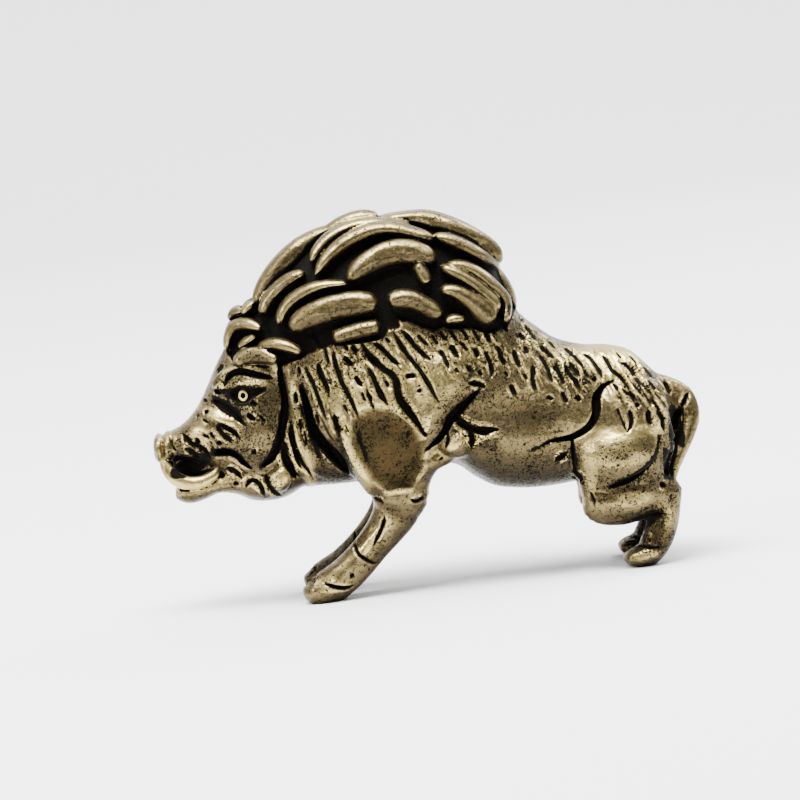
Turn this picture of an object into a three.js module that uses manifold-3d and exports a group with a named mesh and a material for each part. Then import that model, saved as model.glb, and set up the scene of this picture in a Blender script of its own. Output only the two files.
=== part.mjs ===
import * as THREE from "three";
import { mergeVertices } from "three/addons/utils/BufferGeometryUtils.js";
import Module from "manifold-3d";

// A charging wild boar, cast solid in brass as one piece, about as long as a thumb.
// It stands on four hooves with its head low, its tail curled down to the left hock.
// Units are millimetres. +Z is up, the snout points along -X, and the soles stand at z = 0.
const figureLength = 50;
const figureWidth = 15;
const bodyWidth = 13.4;
const headWidth = 9.9;
const stanceWidth = 7.6;
const hoofWidth = 3.2;
const lockHeight = 1.1;
const foldHeight = 0.95;
const grooveDepth = 0.55;

// The figure is drawn from its left side. Along and up are shares of its length, in percent:
// x runs from -50 at the snout to 50 at the tail, and z from 0 at the soles.
// The drawing looks down on the figure by this angle, so what lies further out is drawn lower.
const drawingTilt = THREE.MathUtils.degToRad(6);
const percent = figureLength / 100;
const outwardPercent = figureWidth / 100;
// Outward places and thicknesses are shares of the figure's width, in percent.
const stance = stanceWidth / 2 / outwardPercent;
const hoof = hoofWidth / 2 / outwardPercent;

// Locks and folds are rooted in the skin by these shares of their height.
const lockSunk = 0.1;
const foldSunk = 0.35;
// A narrow end of a lock keeps at least this share of the full height. Half widths that have
// all of it, in percent of the length.
const slimmest = 0.45;
const wideLock = 2;
const wideGroove = 0.5;

// How finely the surfaces are divided.
const trunkSides = 16;
const limbSides = 8;
const lockSides = 5;
const lockRings = 5;
const grooveSides = 3;

const wasm = await Module();
wasm.setup();

// A point of the drawing, and how far out from the middle plane it lies, as a point of the figure.
function placed(x, z, outward) {
  const y = outward * outwardPercent;
  const up = z * percent - (stanceWidth / 2 - y) * Math.sin(drawingTilt);
  return new THREE.Vector3(x * percent, y, up / Math.cos(drawingTilt));
}

// Rows of numbers as a smooth function of how far along them it is read.
function smoothRows(along, rows) {
  const width = rows[0].length;
  const curve = new THREE.CubicInterpolant(along, rows.flat(), width);
  return (t) => [...curve.evaluate(t)].slice(0, width);
}

// A closed surface from rings of points, with a point at each end.
function closedRings(rings) {
  const sides = rings[0].length;
  const middle = (ring) =>
    ring.reduce((sum, p) => sum.add(p), new THREE.Vector3()).divideScalar(sides);
  const points = [middle(rings[0]), ...rings.flat(), middle(rings.at(-1))];
  const last = points.length - 1;
  const faces = [];
  for (let j = 0; j < sides; j++) {
    const next = (j + 1) % sides;
    faces.push(0, 1 + next, 1 + j);
    for (let i = 0; i < rings.length - 1; i++) {
      const a = 1 + i * sides;
      const b = a + sides;
      faces.push(a + j, a + next, b + next, a + j, b + next, b + j);
    }
    const end = 1 + (rings.length - 1) * sides;
    faces.push(last, end + j, end + next);
  }
  const geometry = new THREE.BufferGeometry().setFromPoints(points);
  geometry.setIndex(faces);
  return geometry;
}

// A closed surface as a solid, with its faces turned to point out.
function solidOf(geometry) {
  const bare = geometry.clone();
  bare.deleteAttribute("normal");
  bare.deleteAttribute("uv");
  const merged = mergeVertices(bare, 1e-5);
  const mesh = (triVerts) =>
    new wasm.Mesh({
      numProp: 3,
      vertProperties: new Float32Array(merged.attributes.position.array),
      triVerts: new Uint32Array(triVerts),
    });
  const made = new wasm.Manifold(mesh(merged.index.array));
  if (made.volume() > 0) return made;
  return new wasm.Manifold(mesh([...merged.index.array].reverse()));
}

// A body of upright sections along x. Each row is x, top, widest height, bottom, and its
// width as a share of the whole body's. A fullness over 2 squares the sections.
function trunk(rows, width, rings, fullness) {
  const read = smoothRows(rows.map((r) => r[0]), rows);
  const [from, to] = [rows[0][0], rows.at(-1)[0]];
  const round = (v) => Math.sign(v) * Math.abs(v) ** (2 / fullness);
  const loops = [];
  for (let i = 0; i <= rings; i++) {
    const [x, top, widest, bottom, wide] = read(from + ((to - from) * i) / rings);
    const loop = [];
    for (let j = 0; j < trunkSides; j++) {
      const turn = (2 * Math.PI * j) / trunkSides;
      const up = round(Math.cos(turn));
      const z = widest + up * (up > 0 ? top - widest : widest - bottom);
      const p = placed(x, z, 0);
      p.y = (round(Math.sin(turn)) * wide * width) / 2;
      loop.push(p);
    }
    loops.push(loop);
  }
  return solidOf(closedRings(loops));
}

// A rounded limb or lock along a path. Each row is x and z in the drawing, how far out it
// lies, half its thickness seen from the side, and half its thickness across.
function limb(rows, rings, sides, roundedShare, side) {
  const centres = rows.map(([x, z, outward]) => placed(x, z, outward));
  const along = [0];
  for (let i = 1; i < rows.length; i++) {
    along.push(along[i - 1] + centres[i].distanceTo(centres[i - 1]));
  }
  const read = smoothRows(
    along,
    rows.map((r, i) => [...centres[i], r[3] * percent, r[4] * outwardPercent]),
  );
  const total = along.at(-1);
  const centreAt = (t) => new THREE.Vector3(...read(t * total));
  const step = 1e-3;
  const loops = [];
  for (let i = 0; i <= rings; i++) {
    const t = Math.min(1 - step, Math.max(step, (1 - Math.cos((Math.PI * i) / rings)) / 2));
    const values = read(t * total);
    const centre = new THREE.Vector3(...values);
    const ahead = centreAt(t + step).sub(centreAt(t - step)).normalize();
    const across = new THREE.Vector3(0, 1, 0);
    across.addScaledVector(ahead, -ahead.y).normalize();
    const upright = new THREE.Vector3().crossVectors(ahead, across);
    const fromEnd = Math.min(1, Math.min(t, 1 - t) / roundedShare);
    const swell = Math.sqrt(1 - (1 - fromEnd) ** 2);
    const loop = [];
    for (let j = 0; j < sides; j++) {
      const turn = (2 * Math.PI * j) / sides;
      const p = centre.clone();
      p.addScaledVector(upright, Math.cos(turn) * values[3] * swell);
      p.addScaledVector(across, Math.sin(turn) * values[4] * swell);
      p.y *= side;
      loop.push(p);
    }
    loops.push(loop);
  }
  return solidOf(closedRings(loops));
}

const trunkRows = [
  [-27, 39, 33, 25, 0.4],
  [-24, 45, 34, 21.7, 0.68],
  [-20, 48, 34, 21.2, 0.82],
  [-14, 50, 34, 21.1, 0.92],
  [-8, 51, 34, 21.1, 0.98],
  [0, 51, 33, 22.3, 1.0],
  [5, 50, 32, 22.2, 1.0],
  [8, 49.5, 31.4, 19.7, 0.99],
  [11, 49, 31, 17.8, 0.99],
  [15, 48.6, 30, 16.8, 0.98],
  [20, 47.4, 29.5, 16.4, 0.96],
  [25, 43.4, 29, 16.6, 0.92],
  [30, 41.5, 29, 17.4, 0.88],
  [35, 40.8, 29, 19, 0.84],
  [39, 39.2, 28.5, 20.4, 0.76],
  [42, 36, 27.5, 20.8, 0.62],
  [44.5, 33, 27, 20.2, 0.46],
  [47, 30, 26, 22, 0.22],
];
const maneRows = [
  [-35, 48.2, 46.5, 44, 0.16],
  [-33.6, 53, 45, 42, 0.34],
  [-32.2, 55, 44.6, 41, 0.42],
  [-29.6, 55.6, 44, 40, 0.56],
  [-26, 57.6, 43.5, 38, 0.72],
  [-22, 62.2, 43, 36, 0.84],
  [-18, 65.2, 43, 35, 0.92],
  [-13, 67.2, 43, 35, 0.97],
  [-8, 68.2, 43, 35, 1.0],
  [-2, 67.8, 43, 35, 1.0],
  [4, 66.6, 43, 35, 0.98],
  [9, 64.4, 43, 35, 0.95],
  [13, 61.2, 43, 35, 0.9],
  [16, 56.8, 43, 35, 0.8],
  [18, 51, 43, 36, 0.64],
  [19.6, 47.6, 43, 38, 0.4],
];
const headRows = [
  [-46.6, 34.2, 31.4, 29.6, 0.45],
  [-45, 34.8, 31.5, 29.4, 0.48],
  [-43, 36.2, 31.6, 28.8, 0.54],
  [-41, 38.4, 31.8, 27.6, 0.61],
  [-39, 41.8, 32, 25, 0.69],
  [-37, 45.7, 33, 23.4, 0.78],
  [-35, 48, 34, 22, 0.87],
  [-33, 49.6, 34.5, 21.4, 0.94],
  [-30, 51, 34.5, 21, 1],
  [-27, 51, 34, 21.4, 1],
  [-24, 50, 34, 22.4, 0.93],
  [-21, 47, 34, 25, 0.71],
];
const jawRows = [
  [-47, 23.4, 22.4, 21.7, 0.21],
  [-46, 24.8, 22.6, 21, 0.38],
  [-44.5, 25.4, 22.7, 20.6, 0.45],
  [-42, 25.6, 23, 20.9, 0.46],
  [-39, 26.2, 23.5, 21.9, 0.54],
  [-36, 27, 23.6, 21.4, 0.64],
  [-33, 28, 23.8, 19.9, 0.75],
  [-30, 28, 23.8, 19.5, 0.8],
  [-27, 27, 23.8, 19.8, 0.75],
  [-23, 25.5, 23.8, 21.6, 0.54],
];
const mouthFillRows = [
  [-48, 30, 28, 26, 0.09],
  [-45.6, 30, 27, 24, 0.14],
  [-43, 30, 27, 24, 0.2],
  [-41, 30, 27, 24, 0.3],
  [-39, 30, 27, 24, 0.45],
];
const noseRows = [
  [-50, 32.7, 31.2, 29.6, 0.32],
  [-49.6, 33.5, 31.2, 28.9, 0.45],
  [-48.6, 33.9, 31.2, 28.4, 0.48],
  [-48.15, 33.6, 31.2, 28.7, 0.43],
  [-47.7, 34, 31.2, 28.7, 0.48],
  [-46.9, 34.2, 31.2, 28.8, 0.48],
  [-46.4, 33.8, 31.2, 29.2, 0.41],
];

// The pieces on both sides, as limb rows.
const shoulder = [
  [-8, 43, 33.3, 5.6, 10.7],
  [-8.6, 38, 34.7, 7.0, 13.3],
  [-8.6, 32.5, 35.3, 7.6, 14.7],
  [-7.8, 27, 34.7, 7.7, 15.3],
  [-6.6, 22, 32.7, 6.7, 14],
  [-6.2, 17.6, 30, 5.2, 11.7],
  [-7.4, 14.2, 28.7, 3.9, 10.7],
];
const triceps = [
  [4.6, 43, 36, 4.4, 8],
  [4.0, 38.5, 38.7, 5.2, 10],
  [2.6, 34, 39.3, 4.0, 10],
  [1.2, 30, 38.7, 2.4, 8],
  [-0.3, 26.5, 36, 1.0, 6],
];
const foreleg = [
  [-6.0, 18.6, stance + 2.7, 4.9, 11.7],
  [-7.2, 15.0, stance + 1.3, 4.3, 11.2],
  [-9.2, 12.2, stance + 0.7, 3.6, 10.7],
  [-11.9, 9.4, stance, 3.2, 10.1],
  [-14.7, 6.7, stance, 3.2, 10],
  [-18, 4.1, stance, 3.3, hoof],
  [-21.2, 2.4, stance + 0.7, 3.3, hoof + 0.7],
  [-24, 2.1, stance + 1, 2.5, hoof],
  [-25.8, 2.6, stance + 1, 1.1, hoof - 2],
];
const thigh = [
  [37, 34.4, 28, 5.0, 10],
  [37.2, 30, 30.7, 6.8, 12.7],
  [36, 25, 32, 9.0, 14.3],
  [34.8, 20, 31.3, 9.2, 14],
  [34.2, 15.6, 29.3, 8.4, 12.7],
  [33.6, 12.2, 28, 5.6, 10.7],
];
const shank = [
  [26.4, 14.3, 28, 1.8, 6.7],
  [29.2, 12.4, 28, 3.8, 9.3],
  [33, 11.9, 28, 4.1, 10.7],
  [37, 12.2, 27.7, 3.9, 10],
  [41, 12.8, stance, 3.7, 9],
  [45, 13.4, stance, 2.1, 7.3],
];
const hindFoot = [
  [42.6, 14.6, stance, 2.3, 8],
  [41.6, 10.4, stance, 2.8, 8.3],
  [40.9, 7.2, stance, 2.9, 8.7],
  [39.7, 4.4, stance, 2.9, hoof - 0.7],
  [37.2, 1.9, stance + 0.7, 2.8, hoof + 0.3],
  [34.2, 1.8, stance + 1, 2.0, hoof - 0.3],
  [31.9, 2.4, stance + 1, 1.1, hoof - 2],
];
const elbowSkin = [
  [2.6, 28.5, 39.3, 1.4, 5.3],
  [4.6, 26.6, 39.3, 2.6, 6.7],
  [6.6, 25.4, 38, 2.2, 6.7],
  [8, 25, 35.3, 1.0, 4.7],
];
const jowl = [
  [-29.4, 25, 22, 1.4, 5.3],
  [-27.4, 23.6, 24, 2.7, 7.3],
  [-25.4, 23.4, 24, 1.8, 6],
];
const tusk = [
  [-48.6, 30.2, 9.3, 0.5, 2.7],
  [-48, 27.6, 12, 1.1, 3.3],
  [-46.6, 25.5, 14, 1.3, 4],
  [-44.4, 24.3, 14.7, 1.35, 4.3],
  [-41.6, 24.2, 14.7, 1.3, 4.3],
  [-39.4, 25.2, 14.7, 1.2, 4],
  [-38.4, 27, 14, 0.6, 2.7],
];
const brow = [
  [-37.9, 41.6, 17.3, 0.9, 3.3],
  [-34.6, 43, 20.7, 1.3, 4.7],
  [-30.5, 43.2, 24, 1.3, 4.7],
  [-27, 42.4, 26, 0.9, 3.3],
];
const ear = [
  [-33.4, 45.2, 22, 0.9, 3.3],
  [-30.6, 46.2, 28, 1.5, 4.7],
  [-27.6, 46, 30.7, 1.4, 4.7],
  [-25.2, 45, 30.7, 0.8, 3],
];
const tail = [
  [41, 32.9, 0, 2.4, 10],
  [44.4, 31.8, 0.7, 2.2, 8.7],
  [47.3, 29.6, 3.3, 2.3, 7.3],
  [48.4, 26.4, 7.3, 1.8, 6.3],
  [47.4, 22.9, 12, 1.4, 5.7],
  [45.6, 19.8, 16.7, 1.3, 5.3],
  [44.1, 17.2, 20.7, 1.2, 5],
  [43.1, 14.6, 24, 1.0, 4.7],
];

// Locks of the mane and folds of the ruff: x, z and half the width seen from the side, in
// percent, along the lock. Each lies on the skin below it.
const maneLocks = [
  [[-29, 55.2, 1.1], [-25, 59.1, 1.8], [-20.5, 63.5, 1.9], [-15.6, 66.2, 1.2], [-11, 67.4, 0.8]],
  [[-15.5, 67.2, 0.6], [-11, 68.6, 0.9], [-7.4, 69.2, 1], [-4.1, 68.8, 0.8]],
  [[-17.7, 61.6, 0.7], [-14.8, 64.6, 0.9], [-10.5, 67.2, 0.8], [-5, 68, 0.7], [1.4, 66.8, 0.6]],
  [[-16.8, 59.4, 0.5], [-13, 62.8, 1.1], [-8, 65.5, 1.2], [-3, 66.4, 1.2], [1.5, 65.2, 1], [5.2, 63.7, 0.8]],
  [[-11.4, 57.4, 1], [-8, 60, 1.9], [-3, 61.7, 2], [1.5, 61.3, 1.9], [5.2, 59.7, 1.2]],
  [[-4.4, 68.2, 0.5], [1, 68.3, 1.0], [6.4, 67, 1.3], [11.5, 63.7, 1.4], [15.6, 60.7, 1.4], [17.4, 57.4, 1.2]],
  [[5.4, 63.9, 0.6], [9, 62.1, 0.9], [13, 59.2, 1.0], [16.6, 56.3, 0.8]],
  [[7.2, 58.6, 0.6], [11, 56.8, 0.9], [14.6, 54, 0.9], [16.8, 50.6, 0.9], [16.6, 47, 0.8]],
  [[6, 58.2, 0.6], [9.6, 56, 1.1], [13, 53.1, 1.1], [15.2, 49.6, 0.8]],
  [[5.2, 54.4, 0.7], [8.4, 53, 1.2], [11.6, 50.8, 1.5], [13.8, 48, 1.4], [14, 46.6, 1.0]],
  [[-4.2, 52.8, 1.2], [-1, 52.9, 1.4], [2.4, 51.2, 1.2], [5.2, 49.3, 0.8]],
  [[-22.4, 50.4, 1.5], [-18.5, 52, 1.9], [-13, 53, 1.9], [-8.6, 53.2, 1.8], [-5.6, 53.3, 0.9]],
  [[-15, 47.9, 1.1], [-11, 48.3, 1.3], [-6, 48.6, 1.2]],
  [[-24.4, 51, 0.6], [-23, 54, 1.0], [-20, 56.2, 1.0], [-16, 57.4, 0.8], [-11.6, 57.1, 0.5]],
  [[-27.7, 53.4, 0.9], [-25.2, 56.4, 1.1], [-22, 58.7, 1.0], [-18.8, 60, 0.7]],
  [[-34.6, 47.4, 0.5], [-34, 50.2, 0.9], [-31.8, 52, 1.0], [-29.4, 52.2, 0.9], [-27.4, 50.8, 0.6]],
  [[-28.8, 48, 0.6], [-25, 47.6, 0.9], [-21.2, 46.6, 0.8]],
];
const ruffFolds = [
  [[-23.3, 42, 1.2], [-23.4, 36, 1.6], [-22.7, 30.5, 1.7], [-21, 26, 2.0], [-19.2, 22.8, 1.4]],
  [[-25, 35, 0.6], [-25.2, 30.5, 0.9], [-24.7, 26.5, 0.9], [-22.8, 22.8, 0.8]],
  [[-19.6, 43.4, 0.9], [-18.8, 38, 1.1], [-17.4, 33, 1.2], [-16, 28.6, 0.9]],
];

// Grooves that part the large muscles: x and z along the groove, and half its width.
const grooves = [
  [[33.6, 33.6, 0.3], [31.4, 32, 0.7], [30.9, 29, 0.8], [28.8, 26.4, 0.8], [26.2, 24.6, 0.7], [22, 24.2, 0.5], [18.4, 23.3, 0.3]],
  [[32, 15.2, 0.4], [35, 16, 0.6], [38.4, 17.4, 0.6], [40.8, 20.2, 0.6], [42.2, 23.4, 0.3]],
  [[11, 35.6, 0.3], [7, 33, 0.6], [4, 30.2, 0.7], [1.4, 27.4, 0.6], [-0.4, 25.4, 0.3]],
  [[-25.2, 44, 0.4], [-25.4, 39, 0.6], [-26, 33.5, 0.7], [-27.4, 28.6, 0.7], [-29.4, 26.6, 0.5]],
];

// Everything but the locks and folds, as one solid.
function wholeBody() {
  let body = trunk(trunkRows, bodyWidth, 15, 2.2);
  const middle = [
    trunk(maneRows, bodyWidth, 12, 2),
    trunk(headRows, headWidth, 10, 2.1),
    trunk(jawRows, headWidth, 8, 2.1),
    trunk(mouthFillRows, headWidth, 3, 2.1),
    trunk(noseRows, headWidth, 8, 2.2),
    limb(tail, 10, lockSides + 1, 0.06, -1),
  ];
  middle.forEach((piece) => (body = body.add(piece)));
  for (const side of [-1, 1]) {
    const paired = [
      limb(shoulder, 8, limbSides, 0.12, side),
      limb(triceps, 6, limbSides, 0.12, side),
      limb(foreleg, 9, limbSides, 0.1, side),
      limb(thigh, 8, limbSides, 0.12, side),
      limb(shank, 7, limbSides, 0.12, side),
      limb(hindFoot, 8, limbSides, 0.1, side),
      limb(elbowSkin, 5, lockSides, 0.3, side),
      limb(jowl, 5, limbSides, 0.4, side),
      limb(tusk, 7, lockSides, 0.12, side),
      limb(brow, 5, lockSides, 0.3, side),
      limb(ear, 5, lockSides, 0.3, side),
    ];
    paired.forEach((piece) => (body = body.add(piece)));
  }
  return body;
}

// How far out the skin of a solid lies at a point of the drawing, seen from the left, in mm.
function skinFinder(solid) {
  const mesh = solid.getMesh();
  const geometry = new THREE.BufferGeometry();
  const positions = new Float32Array(mesh.numVert * 3);
  for (let i = 0; i < mesh.numVert; i++) {
    positions.set(mesh.vertProperties.subarray(i * mesh.numProp, i * mesh.numProp + 3), i * 3);
  }
  geometry.setAttribute("position", new THREE.BufferAttribute(positions, 3));
  geometry.setIndex(new THREE.BufferAttribute(mesh.triVerts, 1));
  const skin = new THREE.Mesh(geometry, new THREE.MeshBasicMaterial({ side: THREE.DoubleSide }));
  skin.updateMatrixWorld();
  const view = new THREE.Vector3(0, Math.cos(drawingTilt), -Math.sin(drawingTilt));
  return (x, z) => {
    const start = placed(x, z, stance);
    start.setY(-start.y).addScaledVector(view, -figureLength);
    const hits = new THREE.Raycaster(start, view).intersectObject(skin);
    return hits.length ? Math.max(0, -hits[0].point.y) : 0;
  };
}

// Rows that run along the skin, with their middle sunk below it by a share of their thickness.
// Half a thickness reaches its full size where a lock is as wide as fullHalf.
function onSkin(rows, skinAt, thickness, sunk, fullHalf) {
  return rows.map(([x, z, half]) => {
    const across = thickness * Math.min(1, slimmest + half / fullHalf);
    const outward = Math.max(0, skinAt(x, z) - sunk * across);
    return [x, z, outward / outwardPercent, half, across / outwardPercent];
  });
}

function boarSolid() {
  let body = wholeBody();
  const skinAt = skinFinder(body);
  const added = [];
  const cut = [];
  for (const side of [-1, 1]) {
    for (const rows of maneLocks) {
      const laid = onSkin(rows, skinAt, lockHeight, lockSunk, wideLock);
      added.push(limb(laid, lockRings, lockSides, 0.22, side));
    }
    for (const rows of ruffFolds) {
      const laid = onSkin(rows, skinAt, foldHeight, foldSunk, wideLock);
      added.push(limb(laid, lockRings, lockSides, 0.2, side));
    }
    for (const rows of grooves) {
      const laid = onSkin(rows, skinAt, grooveDepth, 0, wideGroove);
      cut.push(limb(laid, rows.length, grooveSides, 0.2, side));
    }
  }
  cut.forEach((piece) => (body = body.subtract(piece)));
  added.forEach((piece) => (body = body.add(piece)));
  const floor = new THREE.BoxGeometry(figureLength * 2, figureLength, figureLength);
  floor.translate(0, 0, -figureLength / 2);
  return body.subtract(solidOf(floor));
}

// The largest body of a solid, without the slivers that a cut may leave.
function largest(solid) {
  return solid.decompose().sort((a, b) => b.volume() - a.volume())[0];
}

function meshOf(solid, material) {
  const made = solid.getMesh();
  const positions = new Float32Array(made.numVert * 3);
  for (let i = 0; i < made.numVert; i++) {
    positions.set(made.vertProperties.subarray(i * made.numProp, i * made.numProp + 3), i * 3);
  }
  const geometry = new THREE.BufferGeometry();
  geometry.setAttribute("position", new THREE.BufferAttribute(positions, 3));
  geometry.setIndex(new THREE.BufferAttribute(made.triVerts, 1));
  geometry.computeVertexNormals();
  return new THREE.Mesh(geometry, material);
}

const agedBrass = new THREE.MeshStandardMaterial({
  color: 0xa08a56,
  metalness: 1,
  roughness: 0.38,
});

const figurine = new THREE.Group();
const boar = meshOf(largest(boarSolid()), agedBrass);
boar.name = "boar";
figurine.add(boar);

export default figurine;
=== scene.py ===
# %% [markdown]
# # A small cast brass boar
# The real figurine is one solid casting, about as long as a thumb joint. Its carver cut the form
# in wax: big muscles, rolled locks of mane, and short slanting strokes for hair. After casting it
# was blackened and then rubbed, so that black stays in the hollows and brass shines on the ridges.
# This script follows the same order: big forms, locks, hollows, strokes, then blackening and polish.
#
# We begin by loading the measured solid, which fixes the size and place of everything.

# %% The frame
import math

import bmesh
import bpy
import numpy as np
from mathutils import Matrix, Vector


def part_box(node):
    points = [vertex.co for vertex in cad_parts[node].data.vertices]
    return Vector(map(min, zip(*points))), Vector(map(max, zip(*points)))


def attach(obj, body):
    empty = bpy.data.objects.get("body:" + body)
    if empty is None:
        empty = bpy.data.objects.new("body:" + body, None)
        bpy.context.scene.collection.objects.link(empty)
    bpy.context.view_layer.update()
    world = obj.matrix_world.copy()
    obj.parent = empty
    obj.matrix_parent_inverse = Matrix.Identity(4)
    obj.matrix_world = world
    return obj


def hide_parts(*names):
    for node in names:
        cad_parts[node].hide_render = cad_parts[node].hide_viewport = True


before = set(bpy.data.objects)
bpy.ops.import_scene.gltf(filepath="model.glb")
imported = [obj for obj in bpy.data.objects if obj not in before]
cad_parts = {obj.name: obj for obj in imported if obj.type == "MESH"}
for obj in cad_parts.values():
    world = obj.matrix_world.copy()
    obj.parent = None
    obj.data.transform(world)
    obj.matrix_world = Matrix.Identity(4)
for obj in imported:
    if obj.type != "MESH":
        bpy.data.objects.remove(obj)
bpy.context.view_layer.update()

import openvdb
from mathutils import Matrix, Vector

low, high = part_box("boar")
print("solid box in mm:", [round(v * 1000, 2) for v in low], [round(v * 1000, 2) for v in high])

# %% [markdown]
# ## Measures
# The carver's drawing shows the boar from its left side. Along and up are shares of its length in
# percent: x runs from -50 at the snout to 50 at the tail, and z from 0 at the soles. How far
# something lies out from the middle plane is a share of the figure's width. We work in
# millimetres, because the casting is so small, and turn to metres when the mesh is made.

# %% Shares and the drawing's tilt
millimetre = 0.001
percent = 2 * abs(low[0]) / millimetre / 100
outward_percent = (high[1] - low[1]) / millimetre / 100
half_length = 50 * percent
drawing_tilt = math.radians(6)
leg_spread = 3.8
body_width = 13.4
head_width = 9.9
hoof = 10.6
stance = leg_spread / outward_percent


def up_at(z, y):
    """Height in mm of something drawn at z percent that lies y mm out from the middle plane."""
    return (z * percent - (leg_spread - y) * math.sin(drawing_tilt)) / math.cos(drawing_tilt)


def drawn_at(up, y):
    """The drawing's z in percent of a point at that height in mm, y mm out."""
    return (up * math.cos(drawing_tilt) + (leg_spread - y) * math.sin(drawing_tilt)) / percent


print("one percent is", round(percent, 3), "mm along and", round(outward_percent, 4), "mm across")

# %% [markdown]
# ## A block of wax
# A free form could be pushed about vertex by vertex, but limbs that melt into a body are much
# easier as a field: a block of numbers that says at each place how far away the metal is,
# negative inside. Forms join where we keep the smaller number, and a softened minimum leaves
# the fillet that a thumb leaves in wax. The left half is enough, as the right half mirrors it.

# %% The block
grain = 0.125
margin = 0.9
x_line = np.arange(-half_length - margin, half_length + margin, grain, dtype=np.float32)
y_line = np.arange(0, 8.7, grain, dtype=np.float32)
z_line = np.arange(-margin, 35.0 + margin, grain, dtype=np.float32)
empty = 9.0
wax = np.full((len(x_line), len(y_line), len(z_line)), empty, dtype=np.float32)
print("block of", wax.shape, "grains")


def soft_join(a, b, softness):
    """The smaller of two distances, rounded where they are nearly alike."""
    near = np.clip(0.5 + 0.5 * (b - a) / softness, 0, 1)
    return b + (a - b) * near - softness * near * (1 - near)


def part_of(line, start, end):
    """The stretch of a grid line between two places."""
    return slice(int(np.searchsorted(line, start)), int(np.searchsorted(line, end)))


def flowing(rows, count):
    """Rows of numbers read at evenly spaced places of a smooth curve through them."""
    rows = np.array(rows, dtype=float)
    steps = np.hypot(np.diff(rows[:, 0]), np.diff(rows[:, 1]))
    at = np.concatenate([[0], np.cumsum(steps)])
    slope = np.gradient(rows, at, axis=0)
    t = np.linspace(0, at[-1], count)
    i = np.clip(np.searchsorted(at, t, side="right") - 1, 0, len(at) - 2)
    span = (at[i + 1] - at[i])[:, None]
    s = ((t - at[i]) / (at[i + 1] - at[i]))[:, None]
    h00 = 2 * s**3 - 3 * s**2 + 1
    h10 = s**3 - 2 * s**2 + s
    h01 = 3 * s**2 - 2 * s**3
    h11 = s**3 - s**2
    return h00 * rows[i] + h10 * span * slope[i] + h01 * rows[i + 1] + h11 * span * slope[i + 1]


# %% [markdown]
# ## Barrels and limbs
# Trunk, mane, head and snout are barrels: upright sections along x, each with a top, a widest
# height, a bottom and a width. Legs, tail, tusks and locks are limbs: a path in the drawing, how
# far out it lies, and its thickness seen from the side and across. For a limb we find the
# nearest place of its path once for each point of the drawing, and only then go out sideways.

# %% Helpers that add a barrel or a limb
reach = 2.2


def barrel(rows, width, fullness):
    """Distance to a body of upright sections, with the part of the block that it fills."""
    rows = np.array(rows, dtype=float)
    xs = rows[:, 0] * percent
    part_x = part_of(x_line, xs[0] - reach, xs[-1] + reach)
    x = x_line[part_x]
    dense = flowing(np.column_stack([xs, np.zeros(len(xs)), rows[:, 1:]]), 400)
    top, mid, bottom, wide = [np.interp(x, dense[:, 0], dense[:, c]) for c in (2, 3, 4, 5)]
    top, mid, bottom = up_at(top, 0), up_at(mid, 0), up_at(bottom, 0)
    wide = wide * width / 2
    part_z = part_of(z_line, bottom.min() - reach, top.max() + reach)
    part_y = part_of(y_line, -1, wide.max() + reach)
    z = z_line[part_z][None, None, :] - mid[:, None, None]
    y = y_line[part_y][None, :, None]
    tall = np.where(z > 0, (top - mid)[:, None, None], (mid - bottom)[:, None, None])
    share = (y / wide[:, None, None]) ** fullness + (np.abs(z) / tall) ** fullness
    share = np.maximum(share ** (1 / fullness), 1e-3)
    radius = np.hypot(y, z)
    away = radius - radius / share
    beyond = np.maximum(xs[0] - x, x - xs[-1])[:, None, None]
    return np.maximum(away, beyond).astype(np.float32), (part_x, part_y, part_z)


def path_of(rows):
    """Limb rows as x, up, y and the two half thicknesses, all in mm."""
    rows = np.array(rows, dtype=float)
    y = rows[:, 2] * outward_percent
    up = up_at(rows[:, 1], y)
    half, across = rows[:, 3] * percent, rows[:, 4] * outward_percent
    return np.column_stack([rows[:, 0] * percent, up, y, half, across])


def nearest_on(path, x, z):
    """For each point of a drawing grid: the distance to a path, and how far along it, from 0 to 1."""
    best = np.full((len(x), len(z)), 1e9)
    along = np.zeros_like(best)
    count = len(path) - 1
    px, pz = x[:, None], z[None, :]
    for i in range(count):
        ax, az = path[i, :2]
        bx, bz = path[i + 1, :2]
        dx, dz = bx - ax, bz - az
        t = np.clip(((px - ax) * dx + (pz - az) * dz) / (dx * dx + dz * dz + 1e-12), 0, 1)
        d = (px - ax - t * dx) ** 2 + (pz - az - t * dz) ** 2
        closer = d < best
        best[closer] = d[closer]
        along[closer] = ((i + t) / count)[closer]
    return np.sqrt(best), along


def limb(path, rounded, count=28):
    """Distance to a rounded limb along a path in mm, with the part of the block that it fills."""
    path = flowing(path, count)
    widest = path[:, 3].max() + reach
    part_x = part_of(x_line, path[:, 0].min() - widest, path[:, 0].max() + widest)
    part_z = part_of(z_line, path[:, 1].min() - widest, path[:, 1].max() + widest)
    out = path[:, 4].max() + reach
    part_y = part_of(y_line, path[:, 2].min() - out, path[:, 2].max() + out)
    aside, along = nearest_on(path, x_line[part_x], z_line[part_z])
    places = np.linspace(0, 1, count)
    ends = np.minimum(1, np.minimum(along, 1 - along) / rounded)
    swell = np.maximum(np.sqrt(1 - (1 - ends) ** 2), 0.05)
    half = np.interp(along, places, path[:, 3]) * swell
    across = np.interp(along, places, path[:, 4]) * swell
    middle = np.interp(along, places, path[:, 2])
    y = y_line[part_y][None, :, None] - middle[:, None, :]
    aside = aside[:, None, :]
    share = np.maximum(np.hypot(aside / half[:, None, :], y / across[:, None, :]), 1e-3)
    radius = np.hypot(aside, y)
    return (radius - radius / share).astype(np.float32), (part_x, part_y, part_z)


def add(form, softness):
    """Joins a form to the block of wax."""
    away, part = form
    wax[part] = soft_join(wax[part], away, softness)


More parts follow.
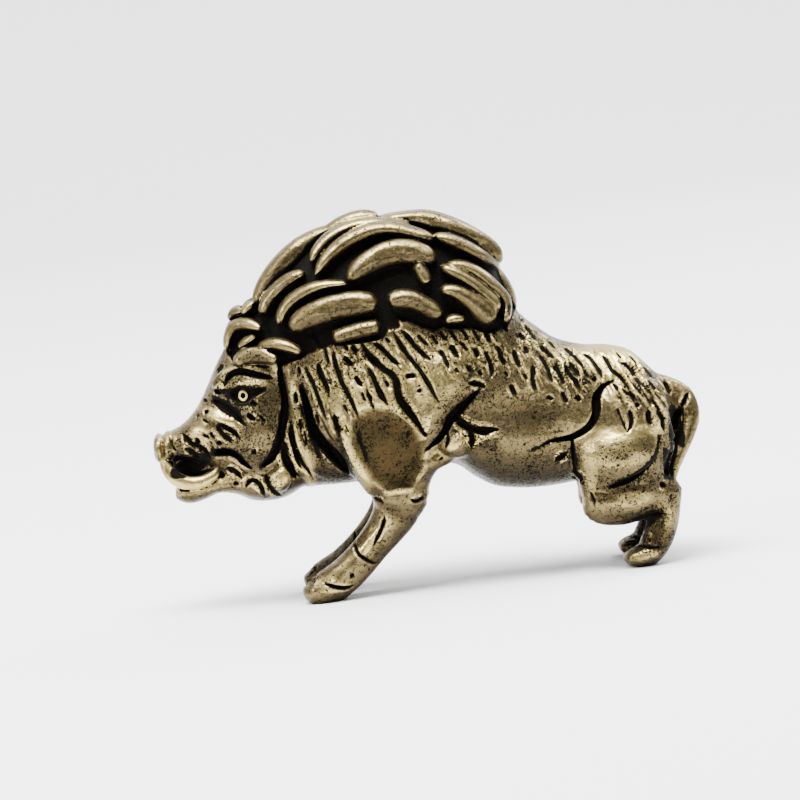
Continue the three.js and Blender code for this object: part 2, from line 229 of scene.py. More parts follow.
def carve(form, softness):
    """Takes a form out of the block of wax."""
    away, part = form
    wax[part] = -soft_join(-wax[part], away, softness)


# %% [markdown]
# ## The body
# The trunk is deep at the shoulder and tucked at the loin, and the mane stands on it as a second
# barrel. The head is a long wedge with a separate jaw, and the mouth between them stays open as
# a hollow on each side with a wall of metal in the middle, as castings have it. The snout ends
# in a disc with two rings of skin behind it.

# %% Trunk, mane, head, jaw and snout
trunk_rows = [
    (-27, 39, 33, 25, 0.4), (-24, 45, 34, 21.7, 0.68), (-20, 48, 34, 21.2, 0.82),
    (-14, 50, 34, 21.1, 0.92),
    (-8, 51, 34, 21.1, 0.98), (0, 51, 33, 22.3, 1.0), (5, 50, 32, 22.2, 1.0),
    (8, 49.5, 31.4, 19.7, 0.99),
    (11, 49, 31, 17.8, 0.99), (15, 48.6, 30, 16.8, 0.98), (20, 47.4, 29.5, 16.4, 0.96),
    (25, 43.4, 29, 16.6, 0.92),
    (30, 41.5, 29, 17.4, 0.88), (35, 40.8, 29, 19, 0.84), (39, 39.2, 28.5, 20.4, 0.76),
    (42, 36, 27.5, 20.8, 0.62),
    (44.5, 33, 27, 20.2, 0.46), (47, 30, 26, 22, 0.22),
]
mane_rows = [
    (-35, 48.2, 46.5, 44, 0.16), (-33.6, 53, 45, 42, 0.34), (-32.2, 54.6, 44.6, 41, 0.42),
    (-29.6, 56.4, 44, 40, 0.54),
    (-26, 59.4, 43.5, 38, 0.68), (-22, 62.8, 43, 36, 0.8), (-18, 65.6, 43, 35, 0.88),
    (-13, 67.4, 43, 35, 0.93),
    (-8, 68.6, 43, 35, 0.96), (-2, 68.6, 43, 35, 0.96), (4, 67.8, 43, 35, 0.94), (9, 65.8, 43, 35, 0.9),
    (13, 62.6, 43, 35, 0.86), (16, 58.4, 43, 35, 0.78), (18, 51.6, 43, 36, 0.64),
    (19.6, 47.8, 43, 38, 0.4),
]
head_rows = [
    (-46.6, 34.2, 31.4, 29.6, 0.45), (-45, 34.8, 31.5, 29.4, 0.48), (-43, 36.2, 31.6, 28.8, 0.54),
    (-41, 38.4, 31.8, 27.6, 0.61), (-39, 41.6, 32, 25.4, 0.69), (-37, 45.2, 33, 23.4, 0.78),
    (-35, 48, 34, 22, 0.87), (-33, 49.6, 34.5, 21.4, 0.94), (-30, 51, 34.5, 21, 1),
    (-27, 51, 34, 21.4, 1),
    (-24, 50, 34, 22.4, 0.93), (-21, 47, 34, 25, 0.71),
]
jaw_rows = [
    (-47, 23.4, 22.4, 21.7, 0.21), (-46, 24.8, 22.6, 21, 0.38), (-44.5, 25.2, 22.7, 20.6, 0.45),
    (-42, 25.4, 23, 20.9, 0.46), (-39, 26, 23.5, 21.9, 0.54), (-36, 27, 23.6, 21.4, 0.64),
    (-33, 28, 23.8, 19.9, 0.75), (-30, 28, 23.8, 19.5, 0.8), (-27, 27, 23.8, 19.8, 0.75),
    (-23, 25.5, 23.8, 21.6, 0.54),
]
mouth_wall_rows = [
    (-46.8, 30, 28, 26, 0.12), (-45.6, 30, 27, 24, 0.14), (-43, 30, 27, 24, 0.2), (-41, 30, 27, 24, 0.3),
    (-39, 30, 27, 24, 0.45),
]
nose_rows = [
    (-50, 32.7, 31.2, 29.6, 0.32), (-49.6, 33.5, 31.2, 28.9, 0.45), (-48.8, 33.9, 31.2, 28.4, 0.48),
    (-48.25, 33.5, 31.2, 28.9, 0.42), (-47.6, 34.1, 31.2, 28.7, 0.48), (-46.9, 34.2, 31.2, 28.8, 0.48),
    (-46.4, 33.7, 31.2, 29.3, 0.41),
]
add(barrel(trunk_rows, body_width, 2.2), 0.01)
add(barrel(mane_rows, body_width, 2.0), 0.8)
add(barrel(head_rows, head_width, 2.1), 0.5)
add(barrel(mouth_wall_rows, head_width, 2.1), 0.15)
add(barrel(jaw_rows, head_width, 2.1), 0.2)
add(barrel(nose_rows, head_width, 2.3), 0.12)
print("metal so far:", round(float((wax < 0).sum()) * grain**3 * 2 / 1000, 2), "cubic cm")

# %% [markdown]
# ## Legs, haunches and other limbs
# The forelegs are flung forward from a heavy shoulder, and the hind legs are folded under the
# haunches. Each is two or three limbs that overlap, with soft joins where muscle runs over bone.

# %% Limbs of the left side
shoulder = [
    (-8, 43, 33.3, 5.6, 10.7), (-8.6, 38, 34.7, 7.0, 13.3), (-8.6, 32.5, 35.3, 7.6, 14.7),
    (-7.8, 27, 34.7, 7.7, 15.3),
    (-6.6, 22, 32.7, 6.7, 14), (-6.2, 17.6, 30, 5.2, 11.7), (-7.4, 14.2, 28.7, 3.9, 10.7),
]
triceps = [
    (4.6, 43, 36, 4.4, 8), (4.0, 38.5, 38.7, 5.2, 10), (2.6, 34, 39.3, 4.0, 10), (1.2, 30, 38.7, 2.4, 8),
    (-0.3, 26.5, 36, 1.0, 6),
]
foreleg = [
    (-6.0, 18.6, stance + 2.7, 4.9, 11.7), (-7.2, 15.0, stance + 1.3, 4.3, 11.2),
    (-9.2, 12.2, stance + 0.7, 3.6, 10.7),
    (-11.9, 9.4, stance, 3.2, 10.1), (-14.7, 6.7, stance, 3.2, 10), (-18, 4.1, stance, 3.3, hoof),
    (-21.2, 2.4, stance + 0.7, 3.3, hoof + 0.7), (-24, 2.1, stance + 1, 2.5, hoof),
    (-25.8, 2.6, stance + 1, 1.1, hoof - 2),
]
thigh = [
    (37, 34.4, 28, 5.0, 10), (37.2, 30, 30.7, 6.8, 12.7), (36, 25, 32, 9.0, 14.3),
    (34.9, 20, 31.3, 8.9, 14),
    (34.6, 15.6, 29.3, 7.8, 12.7), (34, 12.4, 28, 5.2, 10.7),
]
shank = [
    (27.6, 14.2, 28, 1.7, 6.7), (29.6, 12.5, 28, 3.6, 9.3), (33, 11.9, 28, 4.1, 10.7),
    (37, 12.2, 27.7, 3.9, 10),
    (41, 12.8, stance, 3.7, 9), (45, 13.4, stance, 2.1, 7.3),
]
hind_foot = [
    (42.6, 14.6, stance, 2.4, 8), (41.6, 10.4, stance, 3.0, 8.3), (40.9, 7.2, stance, 2.9, 8.7),
    (39.6, 4.4, stance, 2.8, hoof - 0.7), (37.4, 2.0, stance + 0.7, 2.4, hoof + 0.3),
    (35, 1.7, stance + 1, 1.8, hoof - 0.3),
    (33.1, 2.1, stance + 1, 1.0, hoof - 2),
]
knee = [
    (27.8, 17.4, 28.7, 1.2, 8), (28.5, 15, 28.3, 1.9, 9), (30, 12.8, 28, 2.6, 9.3),
    (32.6, 11.6, 28, 2.8, 9.3),
]
elbow = [(-2.6, 21, 33, 2.4, 9), (0.2, 22.9, 33, 1.6, 7), (3.4, 24, 33, 1.4, 6), (5.4, 24.4, 33, 0.8, 4)]
elbow_skin = [
    (2.6, 28.5, 39.3, 1.4, 5.3), (4.6, 26.6, 39.3, 2.6, 6.7), (6.6, 25.4, 38, 2.2, 6.7),
    (8, 25, 35.3, 1.0, 4.7),
]
jowl = [(-29.4, 25, 22, 1.4, 5.3), (-27.4, 23.6, 24, 2.7, 7.3), (-25.4, 23.4, 24, 1.8, 6)]
tusk = [
    (-48.6, 30.2, 9.3, 0.5, 2.7), (-48, 27.6, 12, 1.1, 3.3), (-46.6, 25.5, 14, 1.3, 4),
    (-44.4, 24.3, 14.7, 1.35, 4.3),
    (-41.6, 24.2, 14.7, 1.3, 4.3), (-39.4, 25.2, 14.7, 1.2, 4), (-38.4, 27, 14, 0.6, 2.7),
]
brow = [
    (-37.9, 41.6, 17.3, 0.9, 3.3), (-34.6, 43, 20.7, 1.3, 4.7), (-30.5, 43.2, 24, 1.3, 4.7),
    (-27, 42.4, 26, 0.9, 3.3),
]
limbs = [
    (shoulder, 0.12, 1.6), (triceps, 0.12, 1.4), (foreleg, 0.08, 0.9), (thigh, 0.12, 1.3),
    (shank, 0.1, 0.8),
    (knee, 0.2, 0.7), (elbow, 0.3, 0.9), (hind_foot, 0.08, 0.6), (elbow_skin, 0.3, 0.7),
    (jowl, 0.4, 0.5),
    (brow, 0.3, 0.7), (tusk, 0.12, 0.08),
]
for rows, rounded, softness in limbs:
    add(limb(path_of(rows), rounded), softness)
print(len(limbs), "limbs joined")

# %% [markdown]
# ## Where the skin lies
# Locks, folds and hollows lie on the skin, so we need to know how far out it is at each point of
# the drawing. The block of wax tells us: along each sideways line, the last change from metal
# to air.

# %% The skin of the left side
def skin_of(block):
    """For each x and z of the block, how far out the metal ends, or 0 where there is none."""
    metal = block < 0
    last = len(y_line) - 1 - np.argmax(metal[:, ::-1, :], axis=1)
    last = np.clip(last, 0, len(y_line) - 2)
    inner = np.take_along_axis(block, last[:, None, :], axis=1)[:, 0]
    outer = np.take_along_axis(block, last[:, None, :] + 1, axis=1)[:, 0]
    part = np.clip(inner / np.minimum(inner - outer, -1e-6), 0, 1)
    return np.where(metal.any(axis=1), y_line[last] + part * grain, 0)


skin = skin_of(wax)


def skin_at(x, z):
    """How far out the skin lies in mm at a point of the drawing in percent."""
    y = leg_spread
    for _ in range(4):
        i = np.clip((x * percent - x_line[0]) / grain, 0, len(x_line) - 1.001)
        k = np.clip((up_at(z, y) - z_line[0]) / grain, 0, len(z_line) - 1.001)
        i0, k0 = int(i), int(k)
        part_i, part_k = i - i0, k - k0
        y = (skin[i0, k0] * (1 - part_i) * (1 - part_k) + skin[i0 + 1, k0] * part_i * (1 - part_k)
             + skin[i0, k0 + 1] * (1 - part_i) * part_k + skin[i0 + 1, k0 + 1] * part_i * part_k)
    return float(y)


def on_skin(rows, height, sunk, full_half):
    """Limb rows in mm along the skin, with the middle sunk below it by a share of the height."""
    made = []
    for x, z, half in rows:
        across = height * min(1, 0.45 + half / full_half)
        y = max(0.0, skin_at(x, z) - sunk * across)
        made.append((x * percent, up_at(z, y), y, half * percent, across))
    return made


print("skin is", round(skin_at(-8, 30), 2), "mm out at the shoulder")

# %% [markdown]
# ## The mane
# The mane is what makes this boar: fat rolled locks that sweep back over the shoulders, each like
# a stroked comma, with deep black gaps between. Each lock is a limb laid on the skin, thick in
# the middle and thinner at its ends, and joined with hardly any softness so that the gaps stay
# sharp. The ruff on the neck is the same thing, with longer and flatter folds. Each row here is
# one point of a lock: along, up, and half its thickness, all in percent.

# %% Locks of the mane and folds of the ruff
mane_locks = [
    [(-28.6, 55.4, 0.8), (-26, 58.6, 1.5), (-22.4, 62, 1.8), (-19, 64.7, 1.6), (-15.8, 66.6, 1.2),
     (-13, 67.7, 0.7)],
    [(-15, 67, 0.6), (-11, 68.6, 0.95), (-7.4, 69.2, 1.05), (-4.3, 68.8, 0.8)],
    [(-17.4, 61.6, 0.7), (-16.4, 63.2, 0.9), (-14.4, 65.2, 1.05), (-11.6, 66.8, 1), (-7.6, 67.8, 0.8),
     (-3, 67.6, 0.65), (1.3, 66.5, 0.5)],
    [(-16.9, 59.1, 0.4), (-15.2, 61.4, 0.9), (-12.4, 63.6, 1.2), (-8.6, 65.4, 1.3), (-4.6, 66.3, 1.2),
     (-1, 65.8, 1.2), (2.4, 64.5, 1.1), (5.4, 63.4, 0.8)],
    [(-11.2, 57.5, 0.8), (-9.2, 59.1, 1.5), (-6, 60.7, 1.9), (-3, 61.5, 2.1), (0.4, 61.5, 2),
     (3.2, 60.5, 1.7), (5.3, 59.5, 1)],
    [(-4.4, 68.2, 0.5), (0, 68.2, 0.8), (4, 67.6, 1.2), (8.4, 65.3, 1.5), (12.4, 62.7, 1.6),
     (15.4, 60.3, 1.6), (17.2, 58.0, 1.1)],
    [(5.2, 64.1, 0.5), (7.6, 63.2, 0.95), (10.4, 61.6, 1.1), (13.4, 59.3, 1.1), (16.6, 56.7, 0.8)],
    [(7.2, 58.7, 0.5), (9.8, 58, 0.9), (12.6, 56.2, 1), (15, 53.6, 1), (16.9, 50.8, 0.95),
     (16.5, 46.8, 0.7)],
    [(5.8, 58.4, 0.5), (8, 57.1, 0.95), (10.6, 55.2, 1.1), (13.2, 52.7, 1.1), (15, 50.2, 0.9),
     (15.2, 48.7, 0.5)],
    [(5.3, 54.1, 0.7), (7.8, 53.5, 1.2), (10, 52, 1.5), (11.9, 50.1, 1.7), (13.4, 48.1, 1.6),
     (14, 46.9, 1.0)],
    [(-4.3, 52.8, 1.1), (-2.4, 53.2, 1.5), (0, 52.8, 1.5), (2.2, 51.5, 1.4), (4.2, 50, 1.2),
     (5.2, 49.2, 0.7)],
    [(-22.4, 49.7, 1.1), (-20.4, 51.2, 1.7), (-17, 52.4, 2), (-13, 53, 2.1), (-9, 53.1, 2),
     (-6, 53, 1.3)],
    [(-15, 47.6, 1), (-12.4, 48.1, 1.2), (-9, 48.6, 1.3), (-6.2, 48.8, 1.1)],
    [(-24.5, 50.9, 0.5), (-23.6, 53, 0.95), (-21.8, 55, 1.1), (-19, 56.5, 1.05), (-15.6, 57.3, 0.8),
     (-11, 57.1, 0.45)],
    [(-27.6, 53.4, 0.7), (-26, 55.6, 1.1), (-23.8, 57.6, 1.2), (-21.2, 59.2, 1.1), (-18.7, 60.1, 0.6)],
    [(-34.6, 47.6, 0.5), (-34, 50, 0.8), (-32.6, 51.8, 0.95), (-30.2, 52, 1), (-27.6, 50.8, 0.6)],
    [(-33.6, 53.2, 0.5), (-32.4, 54.3, 0.85), (-31, 54.6, 0.7)],
    [(-30.9, 53.9, 0.6), (-29.7, 55, 0.8), (-28.6, 55.8, 0.5)],
    [(-33.3, 44.9, 0.8), (-31.4, 46, 1.3), (-28.6, 46.1, 1.4), (-25.3, 44.9, 0.9)],
    [(-28.8, 47.6, 0.5), (-26, 47.8, 0.95), (-23.2, 47.1, 1), (-20.8, 45.7, 0.6)],
    [(-32.2, 47.9, 0.5), (-30.6, 48.8, 0.75), (-28.9, 49.7, 0.5)],
    [(5.6, 48.4, 0.5), (7.4, 48.6, 0.75), (9.2, 48.3, 0.5)],
    [(1.6, 59.4, 0.8), (2.4, 57.6, 1.1), (3.2, 55.6, 0.9)],
]
ruff_folds = [
    [(-23.3, 43, 1.0), (-23.4, 38, 1.4), (-23.1, 33, 1.5), (-22.2, 29, 1.7), (-20.8, 25.6, 1.9),
     (-19.2, 22.8, 1.4)],
    [(-25, 35, 0.5), (-25.2, 30.5, 0.8), (-24.7, 26.5, 0.8), (-22.8, 22.8, 0.8)],
    [(-19.6, 43.4, 0.8), (-18.8, 38, 1.0), (-17.4, 33, 1.1), (-16, 28.6, 0.8)],
]
print(len(mane_locks), "locks and", len(ruff_folds), "folds drawn")

# %% [markdown]
# The ground under and between the locks is sunk first, everywhere above the mane's lower edge, so
# that the gaps are deep enough to stay black. A copy of that bare ground is kept, to tell later
# how far each point stands above it. Three more locks lie on the middle plane: they close the
# back of the neck, where the locks of both sides would leave a slit.

# %% Sinking the ground and laying the locks on
fuller = 1.2
lock_height = 1.15
fold_height = 0.9
full_half = 2.0
laid_locks = []
for rows in mane_locks:
    fuller_rows = [(x, z, fuller * half) for x, z, half in rows]
    laid_locks.append(on_skin(fuller_rows, lock_height, 0.0, full_half))
mane_edge = [
    (-50, 49), (-37, 48.4), (-34.6, 47), (-33.6, 45.2), (-26.4, 45), (-25, 43.6), (-20, 45.2),
    (-15, 46.6), (-6, 46.8), (-4.8, 48.2),
    (-2.4, 48), (0, 47), (1.6, 45.8), (3.2, 46.8), (5, 47.6),
    (10, 46.6), (13, 45.4), (16, 45.6), (19, 48.5), (20, 50), (50, 60),
]
edge_x, edge_z = np.array(mane_edge).T
edge_up = up_at(np.interp(x_line / percent, edge_x, edge_z), 5.0)
above_edge = np.clip((z_line[None, :] - edge_up[:, None]) / 0.4 + 0.5, 0, 1)
grid_aside = np.full((len(x_line), len(z_line)), 9.0)
for path in laid_locks:
    aside, along = nearest_on(flowing(path, 16), x_line, z_line)
    half = np.interp(along, np.linspace(0, 1, len(path)), np.array(path)[:, 3])
    grid_aside = np.minimum(grid_aside, aside - half)
in_mane = np.clip((1.5 - grid_aside) / 0.8, 0, 1) * above_edge
in_mane = in_mane * in_mane * (3 - 2 * in_mane)
gap_depth = 0.6
wax += (gap_depth * in_mane[:, None, :]).astype(np.float32)
bare_wax = wax.copy()
for path in laid_locks:
    add(limb(path, 0.09, 24), 0.08)
crest = [
    (-4.6, 67.6, 0, 0.7, 8), (2, 67.5, 0, 1.2, 12), (8, 65, 0, 1.6, 14), (13, 61.8, 0, 1.7, 13),
    (16.8, 58, 0, 1.2, 8),
]
tuft = [
    (14.6, 58.4, 0, 0.6, 6), (16.4, 55.6, 0, 1.1, 10), (17.8, 52.6, 0, 1.1, 10), (18.8, 49.2, 0, 0.6, 6),
]
top_ground = [
    (-15.6, 65.6, 0, 0.8, 9), (-11, 67.2, 0, 1.2, 13), (-7, 67.8, 0, 1.2, 13), (-3.4, 67.4, 0, 0.8, 9),
]
for middle_lock in (crest, tuft, top_ground):
    add(limb(path_of(middle_lock), 0.2), 0.1)
for rows in ruff_folds:
    add(limb(on_skin(rows, fold_height, 0.4, full_half), 0.16, 24), 0.3)
print("ground sunk by", gap_depth, "mm over", round(float((in_mane > 0.5).sum()) * grain**2), "square mm")

# %% [markdown]
# ## Deep hollows
# Where big forms meet, the carver cut deep: behind the cheek, under the ruff, along the back of
# the shoulder, round the haunch and beside the tail. These stay black in the finished casting.
# Each row gives the depth in mm and then the points of the hollow, as for a lock.

# %% Hollows cut between the big forms
skin = skin_of(wax)
hollows = [
    (0.75, [(-25.1, 44.6, 0.4), (-25.1, 41, 0.5), (-24.9, 37, 0.6), (-25.6, 33.6, 0.75),
            (-26.9, 30, 0.8), (-28.6, 27.2, 0.7), (-30.6, 25.8, 0.4)]),
    (1.3, [(-21.6, 39.6, 0.4), (-21, 35.4, 0.7), (-20.3, 31.4, 0.9), (-18.6, 28.2, 1.0),
           (-16.4, 25.6, 1.1), (-14.9, 22.8, 0.8)]),
    (0.8, [(10.3, 35.2, 0.3), (7.5, 33, 0.6), (5.5, 31.4, 0.9), (4.4, 30.3, 0.8), (3.3, 28.5, 0.55),
           (0.9, 26.4, 0.4), (-0.5, 25.5, 0.25)]),
    (0.9, [(34.6, 34.1, 0.25), (32.4, 33, 0.45), (31.2, 31.2, 0.7), (31, 28.8, 0.75), (29.4, 26.4, 0.6),
           (26.4, 24.9, 0.55), (22, 24.5, 0.35), (18.4, 23.2, 0.2)]),
    (0.6, [(41.8, 23.4, 0.2), (41.2, 21.2, 0.25), (40.2, 19.2, 0.4), (38.4, 17.7, 0.5),
           (36.4, 16.4, 0.55), (34, 15.5, 0.55), (31.8, 15, 0.3)]),
    (0.5, [(26.1, 24.8, 0.25), (26, 21.6, 0.4), (26.1, 19.2, 0.35), (26, 17.2, 0.3)]),
    (1.0, [(46.8, 27.6, 0.5), (45.6, 26, 0.9), (44.7, 23.8, 1.0), (44.4, 21.8, 0.6)]),
    (0.9, [(43.8, 20.2, 0.5), (42.9, 18, 0.8), (42.4, 15.8, 0.5)]),
    (1.0, [(-38.8, 29.3, 0.7), (-37, 29.2, 0.7), (-35.4, 28.8, 0.6), (-33.6, 26.9, 0.45),
           (-32.5, 25.7, 0.25)]),
    (0.7, [(-35.4, 41.6, 0.4), (-34.2, 43, 0.6), (-32.4, 43.4, 0.65), (-29.8, 42.6, 0.6),
           (-26.8, 41.6, 0.3)]),
    (0.5, [(-37.9, 38.8, 0.5), (-36, 37.2, 0.8), (-34.4, 35.8, 0.6), (-32.6, 33.7, 0.3)]),
    (0.55, [(-34.6, 39.6, 0.9), (-32.4, 39.1, 1.5), (-30.6, 39.3, 0.9), (-28.2, 39.8, 0.35)]),
]
for depth, rows in hollows:
    carve(limb(on_skin(rows, depth, 0.0, 0.9), 0.14, 24), 0.16)
print(len(hollows), "hollows cut")

# %% [markdown]
# ## Both sides, the tail and the soles
# The right side mirrors the left. The tail hangs down to the left hock only, so it is laid on
# once the block is whole. Nostrils and the clefts of the hooves face forward, where a drawing
# from the side can't hold them, so they are drilled here, and a copy of the block from before
# tells the finish where they are. Everything below the floor goes, as a boar stands on its hooves.

# %% The whole block
wax = np.concatenate([wax[:, :0:-1, :], wax], axis=1)
bare_wax = np.concatenate([bare_wax[:, :0:-1, :], bare_wax], axis=1)
in_mane = np.repeat(in_mane[:, None, :].astype(np.float32), wax.shape[1], axis=1)
y_line = np.concatenate([-y_line[:0:-1], y_line]).astype(np.float32)
tail = [
    (41, 32.9, 0, 2.4, 10), (44.4, 31.8, 0.7, 2.2, 8.7), (47.3, 29.6, 3.3, 2.3, 7.3),
    (48.4, 26.4, 7.3, 1.8, 6.3),
    (47.4, 22.9, 12, 1.4, 5.7), (45.6, 19.8, 16.7, 1.3, 5.3), (44.1, 17.2, 20.7, 1.2, 5),
    (43.1, 14.6, 24, 1.0, 4.7),
]
holes = [
    [(-51.6, 31.6, 4.8, 0.85, 3), (-48.6, 31.4, 4.8, 0.85, 3)],
    [(-25.9, 0.2, stance + 1, 0.9, 1.5), (-25.5, 2.4, stance + 1, 0.9, 1.5),
     (-24.6, 4, stance + 1, 0.8, 1.5), (-22.6, 5, stance + 0.9, 0.6, 1.3),
     (-21, 6, stance + 0.7, 0.4, 1)],
    [(33, 0.2, stance + 1, 0.8, 1.4), (33.4, 2.2, stance + 1, 0.8, 1.4),
     (34.4, 3.6, stance + 0.8, 0.7, 1.4), (36, 4.2, stance + 0.7, 0.4, 1)],
]
add(limb(path_of(tail), 0.05), 0.25)
uncut_wax = wax.copy()
for rows in holes:
    for side in (-1, 1):
        hole = path_of(rows)
        hole[:, 2] *= side
        carve(limb(hole, 0.12, 16), 0.04)
wax = np.maximum(wax, -z_line[None, None, :])
print("whole block of", wax.shape, "grains")

# %% [markdown]
# ## From wax to mesh
# Blender's volume library walks through the block and lays small four-sided faces where the
# number passes zero. The block's left side is at positive y so far, because it is simplest to
# count outward, and the boar's left is at negative y, so y changes sign here.

# %% The first mesh
grid = openvdb.FloatGrid(empty)
grid.copyFromArray(np.ascontiguousarray(wax[:, ::-1, :]))
points, quads = grid.convertToQuads(isovalue=0.0)
points = points.astype(np.float64) * grain
points += np.array([x_line[0], -y_line[-1], z_line[0]])
quads = quads[:, ::-1]
print(len(points), "points and", len(quads), "faces")
print("low", points.min(0).round(2), "high", points.max(0).round(2), "mm")

# %% [markdown]
# ## Strokes
# Every hair is one cut of a small gouge: it enters, deepens and runs out, and leaves a low rim on
# each side. Cutting them in the block would need far finer grains, so they are drawn as a
# relief: a sheet of heights over the drawing. Each mesh point then moves in or out by the
# height at its place, on both sides of the boar, and less where the surface turns away.

# %% A sheet of heights
sheet_step = 0.05
sheet_x = np.arange(-half_length - margin, half_length + margin, sheet_step)
sheet_z = np.arange(-margin, 36.0, sheet_step)
relief = np.zeros((len(sheet_x), len(sheet_z)))
deep = np.zeros_like(relief)
for depth, rows in hollows:
    path = flowing(np.array(rows) * percent, 24)
    room = 2 * path[:, 2].max()
    part_x = part_of(sheet_x, path[:, 0].min() - room, path[:, 0].max() + room)
    part_z = part_of(sheet_z, path[:, 1].min() - room, path[:, 1].max() + room)
    aside, along = nearest_on(path, sheet_x[part_x], sheet_z[part_z])
    inside = np.clip(1.8 - 1.25 * aside / np.interp(along, np.linspace(0, 1, 24), path[:, 2]), 0, 1)
    deep[part_x, part_z] = np.maximum(deep[part_x, part_z], inside)


def stroke(points_2d, half, depth, rim=0.2):
    """Cuts one tapering stroke into the sheet, with a low rim along its sides."""
    path = flowing(np.array(points_2d, dtype=float) * percent, 4 * len(points_2d))
    wide = half * percent
    room = 3 * wide
    part_x = part_of(sheet_x, path[:, 0].min() - room, path[:, 0].max() + room)
    part_z = part_of(sheet_z, path[:, 1].min() - room, path[:, 1].max() + room)
    aside, along = nearest_on(path, sheet_x[part_x], sheet_z[part_z])
    taper = np.clip(np.minimum((along + 0.04) / 0.22, (1.04 - along) / 0.3), 0.25, 1) ** 0.7
    share = aside / (wide * taper)
    cut = depth * taper * np.clip(1 - share**2, 0, 1) ** 0.8
    lip = rim * depth * taper * np.exp(-(((share - 1.6) / 0.55) ** 2)) * (share > 1)
    old = relief[part_x, part_z]
    relief[part_x, part_z] = np.where(cut > 0, np.minimum(old, -cut), old + lip)


def mound(x, z, long, short, turn, height):
    """Raises, or with a negative height sinks, a soft oval on the sheet."""
    dx = sheet_x[:, None] - x * percent
    dz = sheet_z[None, :] - z * percent
    c, s = math.cos(math.radians(turn)), math.sin(math.radians(turn))
    along = (dx * c + dz * s) / (long * percent)
    aside = (-dx * s + dz * c) / (short * percent)
    relief[:] += height * np.exp(-((along**2 + aside**2) ** 1.5))


# %% [markdown]
# First the soft swellings that the strokes run over: the dished shoulder, the bulges of the
# haunch, the folds of the face.

# %% Swellings and dishes
for spot in [
    (-13.8, 27.5, 1.3, 6, 14, 0.35),
    (-8, 36, 5, 2.4, -25, 0.3),
    (-1.0, 29, 1.2, 5, -38, 0.3),
    (-6, 17.6, 4.2, 1.6, 0, 0.2),
    (34, 20.4, 7, 3.2, -4, 0.9),
    (35.5, 12.4, 5.4, 2.2, 2, 0.5),
    (38, 33.5, 4.6, 3.6, 40, 0.4),
    (33.6, 27.6, 3.4, 2.6, 20, -0.3),
    (42, 27.5, 1.6, 4.5, -12, 0.25),
    (15, 24.4, 9, 3.4, -6, 0.35),
    (18, 31.6, 9, 2.6, -2, -0.2),
    (27, 36.6, 3.2, 3.6, 30, 0.25),
    (-37, 35.5, 2.6, 0.8, -30, 0.35),
    (-30.4, 30.6, 3.8, 3.4, 30, 0.4),
    (-27.3, 23.3, 2.2, 2.1, 0, 0.35),
    (-41, 33.2, 2.6, 1.4, -30, 0.25),
    (-41.5, 29.8, 2.2, 1.0, -30, 0.2),
    (-36, 41.4, 1.8, 0.9, 30, 0.25),
    (-30.6, 41.2, 3.0, 0.6, -4, 0.25),
    (-22.6, 33, 1.0, 8, 4, 0.3),
    (-8, 13.6, 2.8, 2.4, -50, 0.25),
    (-12.4, 9.8, 1.1, 3.2, -48, 0.25),
    (-18.4, 5.2, 3.2, 1.5, 35, 0.25),
    (-20.4, 2.4, 3.4, 1.2, 8, 0.2),
    (5.2, 26.2, 2.4, 1.2, 35, 0.3),
    (37, 1.8, 3.2, 1.2, 5, 0.2),
    (42, 8, 1.2, 3.4, -12, 0.2),
]:
    mound(*spot)
print("relief from", round(float(relief.min()), 2), "to", round(float(relief.max()), 2), "mm")

# %% [markdown]
# On the shoulder a thumb has worn an oval flat and left it brown. It has an edge of its own, so
# it is drawn as an outline: the ground is dished inside it, with a low rim round it. The same
# outline tells the finish later where the brown film lies.

# %% The worn oval on the shoulder
def within(outline, x, z):
    """How far inside an outline places lie, in percent, and negative outside it."""
    away = np.full(x.shape, 1e9)
    inside = np.zeros(x.shape, dtype=bool)
    for (ax, az), (bx, bz) in zip(outline, outline[1:] + outline[:1]):
        dx, dz = bx - ax, bz - az
        t = np.clip(((x - ax) * dx + (z - az) * dz) / (dx * dx + dz * dz), 0, 1)
        away = np.minimum(away, np.hypot(x - ax - t * dx, z - az - t * dz))
        inside ^= ((az > z) != (bz > z)) & (x < ax + (z - az) * dx / (dz + 1e-9))
    return np.where(inside, away, -away)


worn_patch = [
    (-13, 32.4), (-11, 33.6), (-9, 34), (-6.4, 33.4), (-3.6, 31.4), (-1.4, 28.6), (-1, 26), (-1.8, 22.4),
    (-4, 19.7), (-8, 19.4),
    (-10.8, 21.8), (-12.8, 25), (-14, 28.4),
]
grid_x, grid_z = np.meshgrid(sheet_x / percent, sheet_z / percent, indexing="ij")
patch_part = (part_of(sheet_x, -18 * percent, 3 * percent), part_of(sheet_z, 15 * percent, 38 * percent))
in_patch = within(worn_patch, grid_x[patch_part], grid_z[patch_part])
dish = np.clip((in_patch + 0.6) / 2.6, 0, 1)
patch_rim = 0.1
patch_depth = 0.35
raised = patch_rim * np.exp(-(((in_patch + 0.9) / 0.7) ** 2))
relief[patch_part] += raised - patch_depth * dish * dish * (3 - 2 * dish)
print("oval of", round(float((in_patch > 0).sum()) * sheet_step**2, 1), "square mm")

# %% [markdown]
# Then the cuts themselves, region by region as the carver would: neck, shoulder, flank, haunch,
# legs, head. Each list holds the points of one cut, and the numbers before the list are its
# half width in percent and its depth in mm.

